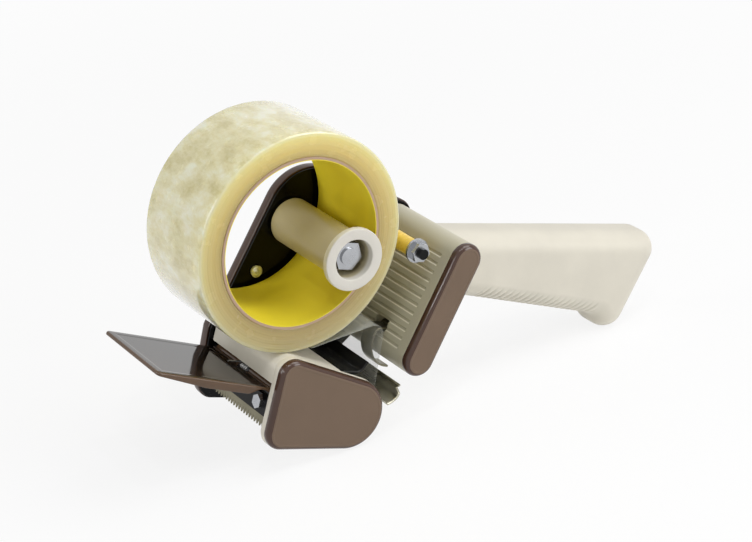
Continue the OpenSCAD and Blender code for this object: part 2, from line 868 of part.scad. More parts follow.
// Grooved hollow block and ribbed grip in one moulding
module handle() {
    keel = tangent(grip_keel, grip_heel);
    keel_run = norm(keel[1] - keel[0]);
    rib_start = keel_run - rib_pitch * rib_n + 1;
    slot = finger_eye_r + 0.5;
    color(beige)
        seat()
            difference() {
                union() {
                    side(y_in)
                        linear_extrude(y_in - y_near)
                            outline(block_side);
                    side(grip_w / 2)
                        rimmed(grip_side, grip_w, grip_e, true);
                    side(grip_w / 2)
                        rimmed(limb_side, grip_w, grip_e, true);
                }
                difference() {
                    side(y_in - handle_wall)
                        linear_extrude(y_in - y_near)
                            outline(shrink(block_side, handle_wall));
                    for (p = block_posts)
                        across(p, y_plate - screw_len - 1, y_in, post_r);
                    across(finger_eye, finger_y - finger_pin_half - 1, finger_y + finger_pin_half + 1,
                           finger_eye_r + 2);
                }
                for (p = block_posts)
                    across(p, y_plate - screw_len - 0.4, y_in + 1, screw_r + set_fit);
                for (i = [0:groove_n - 1])
                    across(foot + (1 + i * groove_pitch) * block_up + (block_r + 0.15) * block_front,
                           y_near + groove_stop, y_in + 1, 0.8);
                translate([finger_eye[0] - 12, finger_y - finger_w / 2 - 0.3, finger_eye[1] - slot])
                    cube([12 + slot, finger_w + 0.6, 2 * slot]);
                across(finger_eye, finger_y - finger_pin_half, finger_y + finger_pin_half,
                       finger_pin_r + set_fit);
                side(grip_w / 2)
                    translate([keel[0][0], keel[0][1], 0])
                        rotate([0, 0, bearing(keel[1] - keel[0])])
                            for (i = [0:rib_n - 1])
                                translate([rib_start + i * rib_pitch, 0, 0])
                                    rotate([90, 0, 90])
                                        linear_extrude(1)
                                            difference() {
                                                translate([-1, -1])
                                                    square([grip_e, grip_w + 2]);
                                                translate([rib_cut, 0])
                                                    grip_section();
                                            }
            }
}

module block_cap() {
    color(brown)
        seat() {
            side(y_near)
                rimmed(block_side, cap_t, rim_e);
            side(y_near + 3)
                linear_extrude(3.5)
                    outline(shrink(block_side, handle_wall + 0.1));
        }
}

// Flanged sleeve that the roll hangs on, open to the far side for its bushing
module tape_hub() {
    color([0.80, 0.77, 0.66])
        seat()
            difference() {
                union() {
                    across(hub, y_lip + 1, y_hub, hub_r);
                    across(hub, y_lip, y_lip + hub_flange_t, hub_flange_d / 2);
                }
                across(hub, y_ledge + 3, y_hub + 1, hub_r - hub_wall);
                across(hub, y_lip - 1, y_ledge, hub_r - hub_wall + 0.8);
                across(hub, y_ledge - 1, y_ledge + 4, hub_bolt_r + run_fit);
            }
}

module hub_bushing() {
    color([0.92, 0.92, 0.88])
        seat()
            difference() {
                across(hub, y_hub - 7, y_hub, hub_r - hub_wall - set_fit);
                across(hub, y_hub - 8, y_hub + 1, hub_bolt_r + run_fit);
            }
}

module hub_bolt() {
    color(steel)
        seat() {
            across(hub, y_washer - hub_nut_t - 1, y_plate + 0.5, hub_bolt_r);
            across(hub, y_plate, y_plate + head_t, hub_bolt_r + 3.5);
        }
}

module hub_washers() {
    color(steel)
        seat()
            for (y = [y_in - washer_t, y_washer])
                difference() {
                    across(hub, y, y + washer_t, hub_bolt_r + 3.8);
                    across(hub, y - 1, y + washer_t + 1, hub_bolt_r + set_fit);
                }
}

module hub_nut() {
    color(steel)
        seat()
            difference() {
                across(hub, y_washer - hub_nut_t, y_washer, hub_bolt_r + 3.2, 6);
                across(hub, y_washer - hub_nut_t - 1, y_washer + 1, hub_bolt_r + set_fit);
            }
}

// One layer of the roll, between two radii
module ring(r0, r1) {
    difference() {
        across([0, 0], -half_tape, half_tape, r1, 128);
        across([0, 0], -half_tape - 1, half_tape + 1, r0, 128);
    }
}

module core_liner() {
    color([0.95, 0.85, 0.05])
        seat()
            ring(core_bore / 2, core_bore / 2 + liner_t);
}

module tape_core() {
    color([0.76, 0.62, 0.48])
        seat()
            ring(core_bore / 2 + liner_t + set_fit, core_bore / 2 + liner_t + core_wall);
}

module wound_tape() {
    color([0.88, 0.83, 0.60])
        seat()
            ring(core_bore / 2 + liner_t + core_wall + set_fit, roll_r);
}

// Tape drawn from the roll, over the guide roller, round the applying roller, to the blade
module tape_strand() {
    off = rest_gap + film_t / 2;
    climb = asin((roll_r + guide_r + 2 * off) / guide_far) - guide_lean;
    over = [guide[0], guide[1], guide_r + off];
    under = [heel[0], heel[1], tyre_r + off];
    cut = [blade_x + blade_t + 0.4, blade_top - blade_h + tooth_h / 2, 0];
    drop = tangent(under, over);
    lay = tangent(cut, under);
    a_drop = bearing(drop[0] - [heel[0], heel[1]]);
    a_lay = bearing(lay[1] - [heel[0], heel[1]]);
    path = concat([(roll_r + off) * [sin(climb), -cos(climb)]],
        arc(guide, over[2], 90 + climb, a_drop, 12),
        arc(heel, under[2], a_drop, a_lay, 18),
        [lay[0]]);
    color([0.85, 0.83, 0.70])
        seat()
            side(half_tape)
                linear_extrude(tape_width)
                    strip(path, film_t);
}

side_plate();
side_cover();
cover_screws();
frame_screws();
head_shell();
head_cap();
roller_tyre();
roller_core();
roller_axle();
blade();
blade_bar();
blade_bolts();
blade_nuts();
tongue();
tongue_pin();
tongue_spring();
guide_plate();
rear_guide();
guide_roller();
guide_axle();
guide_clip();
finger();
finger_pin();
stop_rod();
stop_sleeve();
stop_washer();
stop_nut();
handle();
block_cap();
tape_hub();
hub_bushing();
hub_bolt();
hub_washers();
hub_nut();
core_liner();
tape_core();
wound_tape();
tape_strand();
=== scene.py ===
# %% [markdown]
# Handheld carton-tape dispenser, dressed for a studio picture.
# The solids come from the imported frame, which fixes every size and every joint.
# This lesson gives each solid its finish, and puts finer surfaces over the pieces whose
# roundings, ribs and windings show.

# %% Load the frame
import bpy
import json
import numpy as np
from mathutils import Matrix


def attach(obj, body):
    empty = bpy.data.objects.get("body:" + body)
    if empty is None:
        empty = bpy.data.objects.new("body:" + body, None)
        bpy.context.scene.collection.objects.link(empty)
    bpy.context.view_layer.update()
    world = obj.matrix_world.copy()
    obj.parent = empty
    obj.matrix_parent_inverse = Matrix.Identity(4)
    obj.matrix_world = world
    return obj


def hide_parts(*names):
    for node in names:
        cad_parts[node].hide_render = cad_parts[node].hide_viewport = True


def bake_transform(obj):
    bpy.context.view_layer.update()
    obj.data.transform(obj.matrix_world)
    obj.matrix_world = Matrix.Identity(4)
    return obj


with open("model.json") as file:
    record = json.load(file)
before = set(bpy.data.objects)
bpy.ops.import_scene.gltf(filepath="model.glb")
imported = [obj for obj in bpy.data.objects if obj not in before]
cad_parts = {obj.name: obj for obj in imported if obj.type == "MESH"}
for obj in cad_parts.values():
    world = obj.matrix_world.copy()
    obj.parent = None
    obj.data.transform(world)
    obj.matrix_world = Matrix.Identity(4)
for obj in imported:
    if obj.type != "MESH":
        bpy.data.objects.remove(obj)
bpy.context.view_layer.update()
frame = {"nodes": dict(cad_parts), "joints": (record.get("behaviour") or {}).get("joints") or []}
nodes = frame["nodes"]

# %% [markdown]
# The gun is drawn in its own side view, with the roll's axis at the origin, X toward the handle and
# Z up. Each rounding of an outline is a circle: x, z and radius. On the table the gun leans back on its
# heel and the lobe of its handle. Small functions carry points from that drawing to the table, and the
# joints' axes from the frame to the drawing, so every piece below can use the drawing's plain numbers,
# which are millimetres.

# %% From the drawing to the table
roll_r, rest_gap, toe_r, toe_lean = 50.8, 0.4, 7.4, np.radians(6.3)
toe_far = roll_r + rest_gap + toe_r
toe = np.array([toe_far * np.sin(toe_lean), -toe_far * np.cos(toe_lean), toe_r])
heel, chin = toe + [36.1, -18.5, 9.3], toe + [1.1, -26.7, 1.1]
joint_mm = {j["name"]: 1000 * np.array(j["pos_m"]) for j in frame["joints"]}
roll_axis = joint_mm["roll_spin"]
to_heel = joint_mm["roller_spin"] - roll_axis
lean = np.arctan2(heel[1], heel[0]) - np.arctan2(to_heel[2], to_heel[0])


def turn(points):
    """Leans a drawing direction back about Y: x' = x cos + z sin, z' = z cos - x sin."""
    p = np.asarray(points, float)
    x = p[..., 0] * np.cos(lean) + p[..., 2] * np.sin(lean)
    z = p[..., 2] * np.cos(lean) - p[..., 0] * np.sin(lean)
    return np.stack([x, p[..., 1], z], -1)


def stand(points):
    """Drawing millimetres to table metres: leaned, then moved to the roll's axis."""
    return (turn(points) + roll_axis) / 1000


def axis_of(joint):
    """Side-view place of a joint's axis in the drawing: moved from the roll's axis, then leaned forward."""
    x, _, z = joint_mm[joint] - roll_axis
    return np.array([x * np.cos(lean) - z * np.sin(lean), x * np.sin(lean) + z * np.cos(lean)])


def unit(v):
    """Vectors scaled to length 1."""
    return v / np.linalg.norm(v, axis=-1, keepdims=True)


hub, guide, stop = axis_of("hub_spin"), axis_of("guide_spin"), axis_of("sleeve_spin")
hinge, finger_eye = axis_of("tongue_hinge"), axis_of("finger_rock")
print("lean in degrees:", round(np.degrees(lean), 3))

# %% [markdown]
# The camera stands where the photograph was taken from: ahead of the tongue, on the open side, a
# little above. Its place was solved from the rims of the roll and its core, which are true circles
# of a standard size. A long lens keeps the perspective as flat as in the picture.

# %% Camera
scene = bpy.context.scene


def put_in_scene(obj, right, up, at):
    """Puts a new object in the scene at a point, with its X and Y along two directions."""
    m = np.eye(4)
    m[:3] = np.stack([right, up, np.cross(right, up), at], 1)
    obj.matrix_world = Matrix(m.tolist())
    scene.collection.objects.link(obj)


camera = bpy.data.objects.new("camera", bpy.data.cameras.new("camera"))
camera_at = stand([-516.5, -743.9, 228.9])
put_in_scene(camera, turn([0.8041, -0.5480, 0.2305]), turn([-0.0368, 0.3411, 0.9393]), camera_at)
camera.data.sensor_fit = "HORIZONTAL"
camera.data.sensor_width = 36
camera.data.lens = 101.18
scene.camera = camera
scene.view_settings.view_transform = "Standard"
print("camera distance in metres:", round(float(np.linalg.norm(camera_at)), 3))

# %% [markdown]
# The room, the floor and every finish are small networks of shader nodes. One helper adds a node and
# feeds its inputs: what comes from another node is linked, and a plain value is set.


# %% Shader nodes
def feed(nt, node, inputs):
    """Feeds a node's inputs, given by place or name: an output is linked, a value is set."""
    for key, v in inputs.items():
        if isinstance(v, bpy.types.NodeSocket):
            nt.links.new(v, node.inputs[key])
        else:
            node.inputs[key].default_value = v


def add_node(nt, kind, *inputs, operation=None, **named):
    """New node of a kind, with its operation where it has one, and with its inputs fed."""
    node = nt.nodes.new("ShaderNode" + kind)
    if operation:
        node.operation = operation
    feed(nt, node, {**dict(enumerate(inputs)), **named})
    return node


def here(nt):
    """Object coordinates of the place on the surface, in metres."""
    return add_node(nt, "TexCoord").outputs["Object"]


def seen_rays(nt):
    """1 for rays from the camera, a mirror or clear plastic, and 0 for the light that falls on things."""
    rays = add_node(nt, "LightPath").outputs
    seen = rays["Is Camera Ray"]
    for kind in ("Is Glossy Ray", "Is Transmission Ray"):
        seen = add_node(nt, "Math", seen, rays[kind], operation="MAXIMUM").outputs[0]
    return seen


print("node helpers ready")

# %% [markdown]
# The picture has a white ground and soft light: a wide lamp overhead, one from the right for the
# near faces, a weak one from the left, three small ones whose glints sit on the polished rims, and
# an even glow from the room that stays weak, so that faces turned to the roll lie in its shade. The
# ground is white because the camera's own rays meet a white room, while the lamps stay at a plain
# level, so that the colours render as written.

# %% Room and lamps
room_glow, room_white = 0.11, 1.0
world = bpy.data.worlds.new("room")
scene.world = world
world.use_nodes = True
room = world.node_tree
room.nodes.clear()
skies = [add_node(room, "Background", (1, 1, 1, 1), strength).outputs[0] for strength in (room_glow, room_white)]
add_node(room, "OutputWorld", add_node(room, "MixShader", seen_rays(room), *skies).outputs[0])


def lamp(name, at, aim, size, watts):
    """Square area lamp at a point, turned so that its -Z runs from there to the aim."""
    data = bpy.data.lights.new(name, "AREA")
    data.size = size
    data.energy = watts
    back = unit(np.subtract(at, aim))
    right = unit(np.cross([0, 0, 1], back))
    put_in_scene(bpy.data.objects.new(name, data), right, np.cross(back, right), at)


middle = (0, 0, 0.07)
lamp_rows = [("lamp_over", (0.44, -0.20, 0.96), 0.7, 5.6),
             ("lamp_right", (0.70, -0.95, 0.55), 0.6, 5.8),
             ("lamp_left", (-1.00, 0.34, 0.50), 0.5, 3.6),
             ("lamp_spark_1", (-0.09, -0.34, 1.10), 0.06, 0.9),
             ("lamp_spark_2", (-0.32, -0.42, 1.00), 0.06, 0.9),
             ("lamp_spark_3", (-1.00, -0.42, 0.60), 0.08, 0.8)]
for name, at, width, watts in lamp_rows:
    lamp(name, at, middle, width, watts)

# %% [markdown]
# Every new piece is a grid of points with rows and columns. Two helpers number its quads and make the
# mesh: the columns close into a loop, and the rows either close as well, like a ring, or end in one
# flat face each. The faces are turned outward by the sign of the volume between the quads and the middle.
# Two more share out a full turn, and make a grid of side-view points and their places across the gun.


# %% Grid to mesh
def quads(rows, columns, ring=False):
    """Corner numbers of a grid's quads; columns join into a loop, and rows too where it is a ring."""
    i, j = np.meshgrid(np.arange(rows if ring else rows - 1), np.arange(columns), indexing="ij")
    k, m = (j + 1) % columns, (i + 1) % rows
    return np.stack([i * columns + j, i * columns + k, m * columns + k, m * columns + j], -1).reshape(-1, 4)


def full_turn(n):
    """So many angles evenly round a full turn, in radians."""
    return np.linspace(0, 2 * np.pi, n + 1)[:-1]


def grid_of(xz, y):
    """Grid of drawing points from side-view points (rows, columns, 2) and their places across the gun."""
    return np.stack([xz[..., 0], np.broadcast_to(y, xz.shape[:2]), xz[..., 1]], -1)


def skin(name, grid, finishes, ring=False, end_finish=(0, 0), strips=None, crease=32):
    """Closed mesh over drawing points (rows, columns, 3), smooth up to the crease angle in degrees.

    Strips gives the number of the finish for each band between two rows."""
    rows, columns = grid.shape[:2]
    points = stand(grid).reshape(-1, 3)
    walls = quads(rows, columns, ring)
    a, b, c, d = (points[walls[:, k]] - points.mean(0) for k in range(4))
    volume = np.einsum("ij,ij->", np.cross(a, b), c) + np.einsum("ij,ij->", np.cross(a, c), d)
    faces = walls.tolist()
    if not ring:
        faces += [list(range(columns))[::-1], list(range((rows - 1) * columns, rows * columns))]
    if volume < 0:
        faces = [f[::-1] for f in faces]
    mesh = bpy.data.meshes.new(name)
    mesh.from_pydata(points.tolist(), [], faces)
    slots = np.zeros(len(faces), np.int32)
    if strips is not None:
        slots[:len(walls)] = np.repeat(strips, columns)
    if not ring:
        slots[-2:] = end_finish
    for mat in finishes:
        mesh.materials.append(mat)
    mesh.polygons.foreach_set("material_index", slots)
    mesh.polygons.foreach_set("use_smooth", np.ones(len(faces), bool))
    mesh.set_sharp_from_angle(angle=np.radians(crease))
    obj = bpy.data.objects.new(name, mesh)
    scene.collection.objects.link(obj)
    return obj


def fit(obj, node=None, body="frame"):
    """Rides a piece on its body, hides the solid it stands for, and prints its size in millimetres."""
    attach(obj, body)
    if node:
        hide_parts(node)
    print(obj.name, "faces:", len(obj.data.polygons), "mm:", [round(1000 * v, 1) for v in obj.dimensions])


print("mesh helpers ready")

# %% [markdown]
# The floor is a plain pale disk. It takes the object's shadow near the middle and fades into the white
# room further out, so no horizon shows.

# %% Floor
floor_sides, floor_drop = 96, 0.0004
ring_angle = full_turn(floor_sides)
ring_radius = np.array([0.05, 0.4, 0.8, 1.4, 2.2])
ground = np.stack([np.outer(ring_radius, np.cos(ring_angle)), np.outer(ring_radius, np.sin(ring_angle)),
                   np.full((len(ring_radius), floor_sides), -floor_drop)], -1)
ground_faces = quads(len(ring_radius), floor_sides)[:, ::-1].tolist() + [list(range(floor_sides))]
floor_mesh = bpy.data.meshes.new("floor")
floor_mesh.from_pydata(ground.reshape(-1, 3).tolist(), [], ground_faces)
floor = bpy.data.objects.new("floor", floor_mesh)
scene.collection.objects.link(floor)
print("floor quads:", len(floor_mesh.polygons))

# %% [markdown]
# Each finish is one Principled shader. What is the same all over a surface is set straight on its
# sockets; what varies is drawn by noise on Object coordinates, which are metres here, so a noise
# scale of 1000 has features of about a millimetre.


# %% Finish helpers
def put(mat, v, socket):
    """Links an output to one of the Principled shader's sockets, or sets a value on it."""
    feed(mat.node_tree, mat.node_tree.nodes["Principled BSDF"], {socket: v})


def finish(name, colour, roughness, metal=0.0, coat=0.0, coat_roughness=0.1, specular=0.5):
    """New material: a Principled shader with plain values on its own sockets."""
    mat = bpy.data.materials.new(name)
    mat.use_nodes = True
    values = {"Base Color": (*colour, 1), "Roughness": roughness, "Metallic": metal,
              "Specular IOR Level": specular, "Coat Weight": coat, "Coat Roughness": coat_roughness}
    for socket, v in values.items():
        put(mat, v, socket)
    return mat


def noise(mat, scale, detail=3.0, stretch=(1, 1, 1), rough=0.55):
    """Noise on Object coordinates, stretched along the axes; gives a value of about 0 to 1."""
    nt = mat.node_tree
    place = add_node(nt, "Mapping", Vector=here(nt), Scale=stretch).outputs["Vector"]
    return add_node(nt, "TexNoise", Vector=place, Scale=scale, Detail=detail, Roughness=rough).outputs["Fac"]


def ramp(mat, value, stops):
    """Colour ramp over a value: stops are (place, colour)."""
    node = add_node(mat.node_tree, "ValToRGB", value)
    line = node.color_ramp.elements
    while len(line) < len(stops):
        line.new(0.5)
    for element, (place, colour) in zip(line, stops):
        element.position = place
        element.color = (*colour, 1)
    return node.outputs["Color"]


def span(mat, value, low, high, to_low=0, to_high=1):
    """Carries a value from one range to another, clamped."""
    return add_node(mat.node_tree, "MapRange", value, low, high, to_low, to_high).outputs["Result"]


def mix(mat, value, a, b):
    """Blends two colours by a value; each is an output or a plain colour with its alpha."""
    node = add_node(mat.node_tree, "Mix")
    node.data_type = "RGBA"
    feed(mat.node_tree, node, {"Factor": value, "A": a, "B": b})
    return node.outputs["Result"]


def reckon(mat, operation, a, b):
    """One step of arithmetic on two values."""
    return add_node(mat.node_tree, "Math", a, b, operation=operation).outputs[0]


def offset_from(mat, start):
    """Vector in metres from a drawing point of the side view to the place on the surface."""
    nt = mat.node_tree
    start_m = tuple(stand([start[0], 0, start[1]]))
    return add_node(nt, "VectorMath", here(nt), start_m, operation="SUBTRACT").outputs["Vector"]


def from_axis(mat, centre):
    """Distance in metres from an axis along Y through a drawing point."""
    nt = mat.node_tree
    flat = add_node(nt, "VectorMath", offset_from(mat, centre), (1, 0, 1), operation="MULTIPLY")
    return add_node(nt, "VectorMath", flat.outputs["Vector"], operation="LENGTH").outputs["Value"]


def along_way(mat, start, way):
    """Distance in metres from a drawing point along a drawing direction of the side view."""
    way_m = tuple(turn([way[0], 0, way[1]]))
    node = add_node(mat.node_tree, "VectorMath", offset_from(mat, start), way_m, operation="DOT_PRODUCT")
    return node.outputs["Value"]


def place_on(mat, axis):
    """Place along one axis of Object coordinates, in metres."""
    return add_node(mat.node_tree, "SeparateXYZ", here(mat.node_tree)).outputs[axis]


def bump(mat, value, height, strength=1.0):
    """Bump of the given height in metres from a value."""
    node = add_node(mat.node_tree, "Bump", Strength=strength, Distance=height, Height=value)
    put(mat, node.outputs["Normal"], "Normal")


def mottle(mat, colour, darker, lighter, scale, detail=4, low=0.3, high=0.7):
    """Drives the base colour by noise from a darker to a lighter shade of one colour."""
    stops = [(low, np.clip(np.array(colour) * darker, 0, 1)), (high, np.clip(np.array(colour) * lighter, 0, 1))]
    put(mat, ramp(mat, noise(mat, scale, detail), stops), "Base Color")


print("finish helpers ready")

# %% [markdown]
# The handle and the head are moulded in a warm grey plastic with a fine satin grain. Two noises give
# it life: a broad one shifts the shade by a few percent, and a fine one makes the grain. The caps and
# the far cover are a dark brown moulding with a polished rim and a sand-matt face; the rim's darker
# brown is partly its polish and partly painted shade. The block is painted a little darker than the
# rest of the handle where it faces the roll, as painted shade from the roll.


# %% Moulded plastics
def satin_plastic(name, colour, roughness=0.42, grain=0.00004):
    """Satin moulding: slow shade variation, fine grain in bump and roughness."""
    mat = finish(name, colour, roughness, specular=0.4)
    mottle(mat, colour, 0.95, 1.04, 38)
    fine = noise(mat, 2600, 2)
    put(mat, span(mat, fine, 0.3, 0.7, roughness - 0.05, roughness + 0.07), "Roughness")
    bump(mat, fine, grain, 0.5)
    return mat


def gloss_plastic(name, colour, roughness=0.2, orange_peel=0.00003):
    """Glossy moulding: slight shade variation, faint waviness and handling marks in the gloss."""
    mat = finish(name, colour, roughness, specular=0.45)
    mottle(mat, colour, 0.9, 1.1, 55)
    marks = noise(mat, 240, 5, rough=0.7)
    put(mat, span(mat, marks, 0.35, 0.75, roughness, roughness + 0.07), "Roughness")
    bump(mat, noise(mat, 700, 2), orange_peel, 0.2)
    return mat


beige = satin_plastic("beige moulding", (0.74, 0.70, 0.60))
# Partly painted shade: the rims are a much darker brown than the faces, for their polish and for shade.
brown_rim = gloss_plastic("brown polished rim with painted shade", (0.070, 0.032, 0.020), 0.07)
brown_face = satin_plastic("brown sanded face", (0.170, 0.113, 0.074), 0.55, 0.00006)
pale_plastic = satin_plastic("pale moulding", (0.70, 0.69, 0.64), 0.4)
dark_plastic = satin_plastic("dark moulding", (0.03, 0.03, 0.03), 0.4)
yellow_plastic = gloss_plastic("yellow sleeve", (0.90, 0.62, 0.07), 0.25)
# Painted shade: the sleeve is a darker, warmer tone of the flange's colour, with the core's yellow bounce light in
# it.
hub_pale, sleeve_painted_shade, flange_back, sleeve_front = (0.74, 0.71, 0.64), (0.50, 0.44, 0.28), -0.0262, -0.0245
hub_plastic = satin_plastic("hub moulding", hub_pale, 0.32)
hub_shade = span(hub_plastic, place_on(hub_plastic, "Y"), flange_back, sleeve_front)
put(hub_plastic, ramp(hub_plastic, hub_shade, [(0, hub_pale), (1, sleeve_painted_shade)]), "Base Color")
# Painted shade: the block runs from a darker tone near the roll's axis to its plain tone further off.
block_painted_shade, block_pale, block_near, block_far = (0.54, 0.51, 0.38), (0.70, 0.66, 0.54), 0.080, 0.094
block_mat = satin_plastic("block moulding", block_pale)
block_shade = span(block_mat, from_axis(block_mat, (0, 0)), block_near, block_far)
block_colour = ramp(block_mat, block_shade, [(0, block_painted_shade), (1, block_pale)])
print("plastics:", beige.name, brown_rim.name, brown_face.name)

# %% [markdown]
# The metal pieces differ by how they were made: turned and zinc-plated fasteners, rolled strip for
# the blade and the guides, and black enamel on the plates. Fine scratches run along the sheet, so the
# noise is stretched in one direction.


# %% Metals
def sheet_metal(name, colour, roughness, stretch, scratch=0.000006, metal=1.0, fine=900):
    """Rolled or turned metal: streaks along one direction in roughness, shade and a faint bump."""
    mat = finish(name, colour, roughness, metal=metal)
    streak = noise(mat, fine, 3, stretch, 0.6)
    mottle(mat, colour, 0.9, 1.08, 90)
    put(mat, span(mat, streak, 0.3, 0.7, roughness - 0.08, roughness + 0.12), "Roughness")
    bump(mat, streak, scratch, 0.15)
    return mat


def enamel(name, colour, roughness=0.16):
    """Stoved enamel on steel: gloss with a little waviness and dust in the roughness."""
    mat = finish(name, colour, roughness, specular=0.15)
    mottle(mat, colour, 0.85, 1.2, 120, 5, 0.35, 0.75)
    put(mat, span(mat, noise(mat, 300, 4), 0.35, 0.7, roughness - 0.04, roughness + 0.08), "Roughness")
    bump(mat, noise(mat, 500, 2), 0.00001, 0.15)
    return mat


zinc = sheet_metal("zinc plate", (0.44, 0.45, 0.47), 0.2, (1, 1, 1), 0.000002, 1.0, 160)
gold_zinc = sheet_metal("yellow zinc plate", (0.86, 0.87, 0.66), 0.2, (1, 1, 1), 0.000002, 0.3, 160)
strip_steel = sheet_metal("rolled strip", (0.20, 0.185, 0.13), 0.34, (1, 0.08, 1))
bright_strip = sheet_metal("polished strip", (0.50, 0.48, 0.39), 0.3, (1, 0.1, 1), 0.000001, fine=300)
wire_steel = sheet_metal("spring wire", (0.35, 0.35, 0.34), 0.3, (1, 1, 1))
black_enamel = enamel("black enamel", (0.004, 0.004, 0.004))
gloss_enamel = enamel("gloss enamel", (0.014, 0.014, 0.013), 0.1)
rubber = satin_plastic("roller rubber", (0.025, 0.025, 0.025), 0.6, 0.00006)
print("metals:", zinc.name, strip_steel.name, black_enamel.name)

# %% [markdown]
# The tongue is smoke-brown plastic, polished so that it mirrors the room. The tape is many layers of
# clear film: wound up it is a pale amber, deeper toward the core, with painted shade toward the bottom
# of its faces and painted light toward the top, and cloudy air between the layers; light travels a
# little way inside it. A single run is nearly clear.

# %% Clear things
smoke = finish("smoke plastic", (0.030, 0.019, 0.013), 0.06, specular=0.6)
smoke_low, smoke_high = (0.026, 0.016, 0.011), (0.038, 0.024, 0.016)
put(smoke, ramp(smoke, noise(smoke, 60, 3), [(0.3, smoke_low), (0.7, smoke_high)]), "Base Color")
put(smoke, span(smoke, noise(smoke, 300, 5, rough=0.7), 0.4, 0.75, 0.05, 0.13), "Roughness")
smoke_edge = gloss_plastic("smoke edge", (0.11, 0.060, 0.030), 0.16)
film = finish("clear film", (0.86, 0.87, 0.80), 0.08, coat=0.8)
put(film, 0.22, "Alpha")
bump(film, noise(film, 120, 3, (1, 0.3, 1)), 0.0002, 0.3)
wound = finish("wound film", (0.66, 0.60, 0.33), 0.2, coat=1.0, coat_roughness=0.06)
put(wound, 0.6, "Subsurface Weight")
put(wound, (1.0, 0.85, 0.5), "Subsurface Radius")
put(wound, 0.015, "Subsurface Scale")
air = noise(wound, 110, 7, (1, 0.6, 1), 0.68)
cloud = ramp(wound, air, [(0.34, (0.58, 0.51, 0.22)), (0.5, (0.75, 0.69, 0.38)), (0.65, (0.86, 0.84, 0.63))])
film_in, film_skin, film_out, low_z, high_z = 0.0397, 0.0502, 0.0507, 0.055, 0.150
reach = from_axis(wound, (0, 0))
depth = span(wound, reach, film_in, film_out)
depth_stops = (0, 0.35, 0.8, 1)
# Painted light and shade: the roll's faces run from a darker set of colours at the bottom to a lighter set at the
# top.
painted_shade_colours = [(0.40, 0.28, 0.07), (0.44, 0.33, 0.10), (0.47, 0.39, 0.16), (0.54, 0.50, 0.29)]
painted_light_colours = [(0.70, 0.48, 0.11), (0.78, 0.59, 0.16), (0.83, 0.71, 0.27), (0.86, 0.80, 0.50)]
painted_shade_ring, painted_light_ring = (ramp(wound, depth, list(zip(depth_stops, c))) for c in (painted_shade_colours, painted_light_colours))
faces_painted_light = mix(wound, span(wound, place_on(wound, "Z"), low_z, high_z), painted_shade_ring, painted_light_ring)
put(wound, mix(wound, span(wound, reach, film_skin, film_out), faces_painted_light, cloud), "Base Color")
layers = noise(wound, 200, 3, (1, 14, 1))
put(wound, span(wound, noise(wound, 160, 4), 0.35, 0.7, 0.14, 0.32), "Roughness")
bump(wound, layers, 0.00002, 0.2)
board = satin_plastic("paper board", (0.52, 0.36, 0.25), 0.8, 0.00008)
liner = satin_plastic("yellow paper", (0.92, 0.78, 0.045), 0.45, 0.00003)
print("clear and paper finishes ready")

# %% [markdown]
# The floor is plain and pale. For rays that come from the camera, a mirror or clear plastic, most of it
# is the room's white, and the rest is the lit floor, which keeps the soft shadow under the gun. The
# white's share grows with the distance from the middle, until the floor and the room are one.

# %% Floor finish
pale = finish("pale floor", (0.95, 0.95, 0.95), 0.6)
net = pale.node_tree
shadow_r, plain_r, white_near, white_far = 0.25, 0.9, 0.84, 1.0
from_middle = add_node(net, "VectorMath", here(net), operation="LENGTH").outputs["Value"]
white_share = span(pale, from_middle, shadow_r, plain_r, white_near, white_far)
seen_white = reckon(pale, "MULTIPLY", seen_rays(net), white_share)
bright = add_node(net, "Emission", Strength=room_white).outputs[0]
blended = add_node(net, "MixShader", seen_white, net.nodes["Principled BSDF"].outputs[0], bright)
net.links.new(blended.outputs[0], net.nodes["Material Output"].inputs["Surface"])
floor_mesh.materials.append(pale)
print("floor finish:", pale.name)

# %% [markdown]
# Caps, cover and handle all have the outline of a belt stretched round a few circles. A belt is
# worked out from the circles' outer tangents: each circle gives an arc between the tangent that
# arrives and the one that leaves. It comes with its outward normals, so an outline set back by any
# amount is the point less its normal times that amount.

# %% Belt round circles
block_r, block_run, block_lean = 8, 50.3, np.radians(14.5)
up, front = np.array([np.sin(block_lean), np.cos(block_lean)]), np.array([-np.cos(block_lean), np.sin(block_lean)])
foot = np.array([roll_r + 22.2, -49.8, block_r])
crown = np.array([*foot[:2] + block_run * up, block_r])
plate_circles = np.array([[*hub + [10.2, 3.3], 23], toe - [4, 1, 1.4], chin - [1.3, 0, 0], heel,
                          foot + [0, 0, 2], crown + [0, 0, 2]])
y_cap, y_near, y_cheek, y_flange = -33.8, -29.8, -26.5, 24.7
y_in, y_plate, y_skin, y_cover = 26.5, 27.7, 32.1, 34.2


def leaving(a, b):
    """Unit normal of the outer tangent from circle a to circle b, on the right of the way."""
    way = b[:2] - a[:2]
    length = np.hypot(*way)
    u = way / length
    s = (a[2] - b[2]) / length
    return np.array([u[1], -u[0]]) * np.sqrt(1 - s * s) + u * s


def bow(centre, r, a0, a1, step=4.0):
    """Points and normals of an arc from angle a0 to a1, in radians, about every step degrees."""
    a = np.linspace(a0, a1, max(2, int(np.ceil(abs(np.degrees(a1 - a0)) / step)) + 1))
    n = np.stack([np.cos(a), np.sin(a)], -1)
    return np.asarray(centre)[:2] + r * n, n


def angle(v):
    """Direction of a side-view vector, in radians."""
    return np.arctan2(v[1], v[0])


def corner_arc(centre, r, a, b, step=4.0):
    """Points and normals of an arc from direction a to direction b, anticlockwise."""
    a, b = angle(a), angle(b)
    return bow(centre, r, a, a + (b - a) % (2 * np.pi), step)


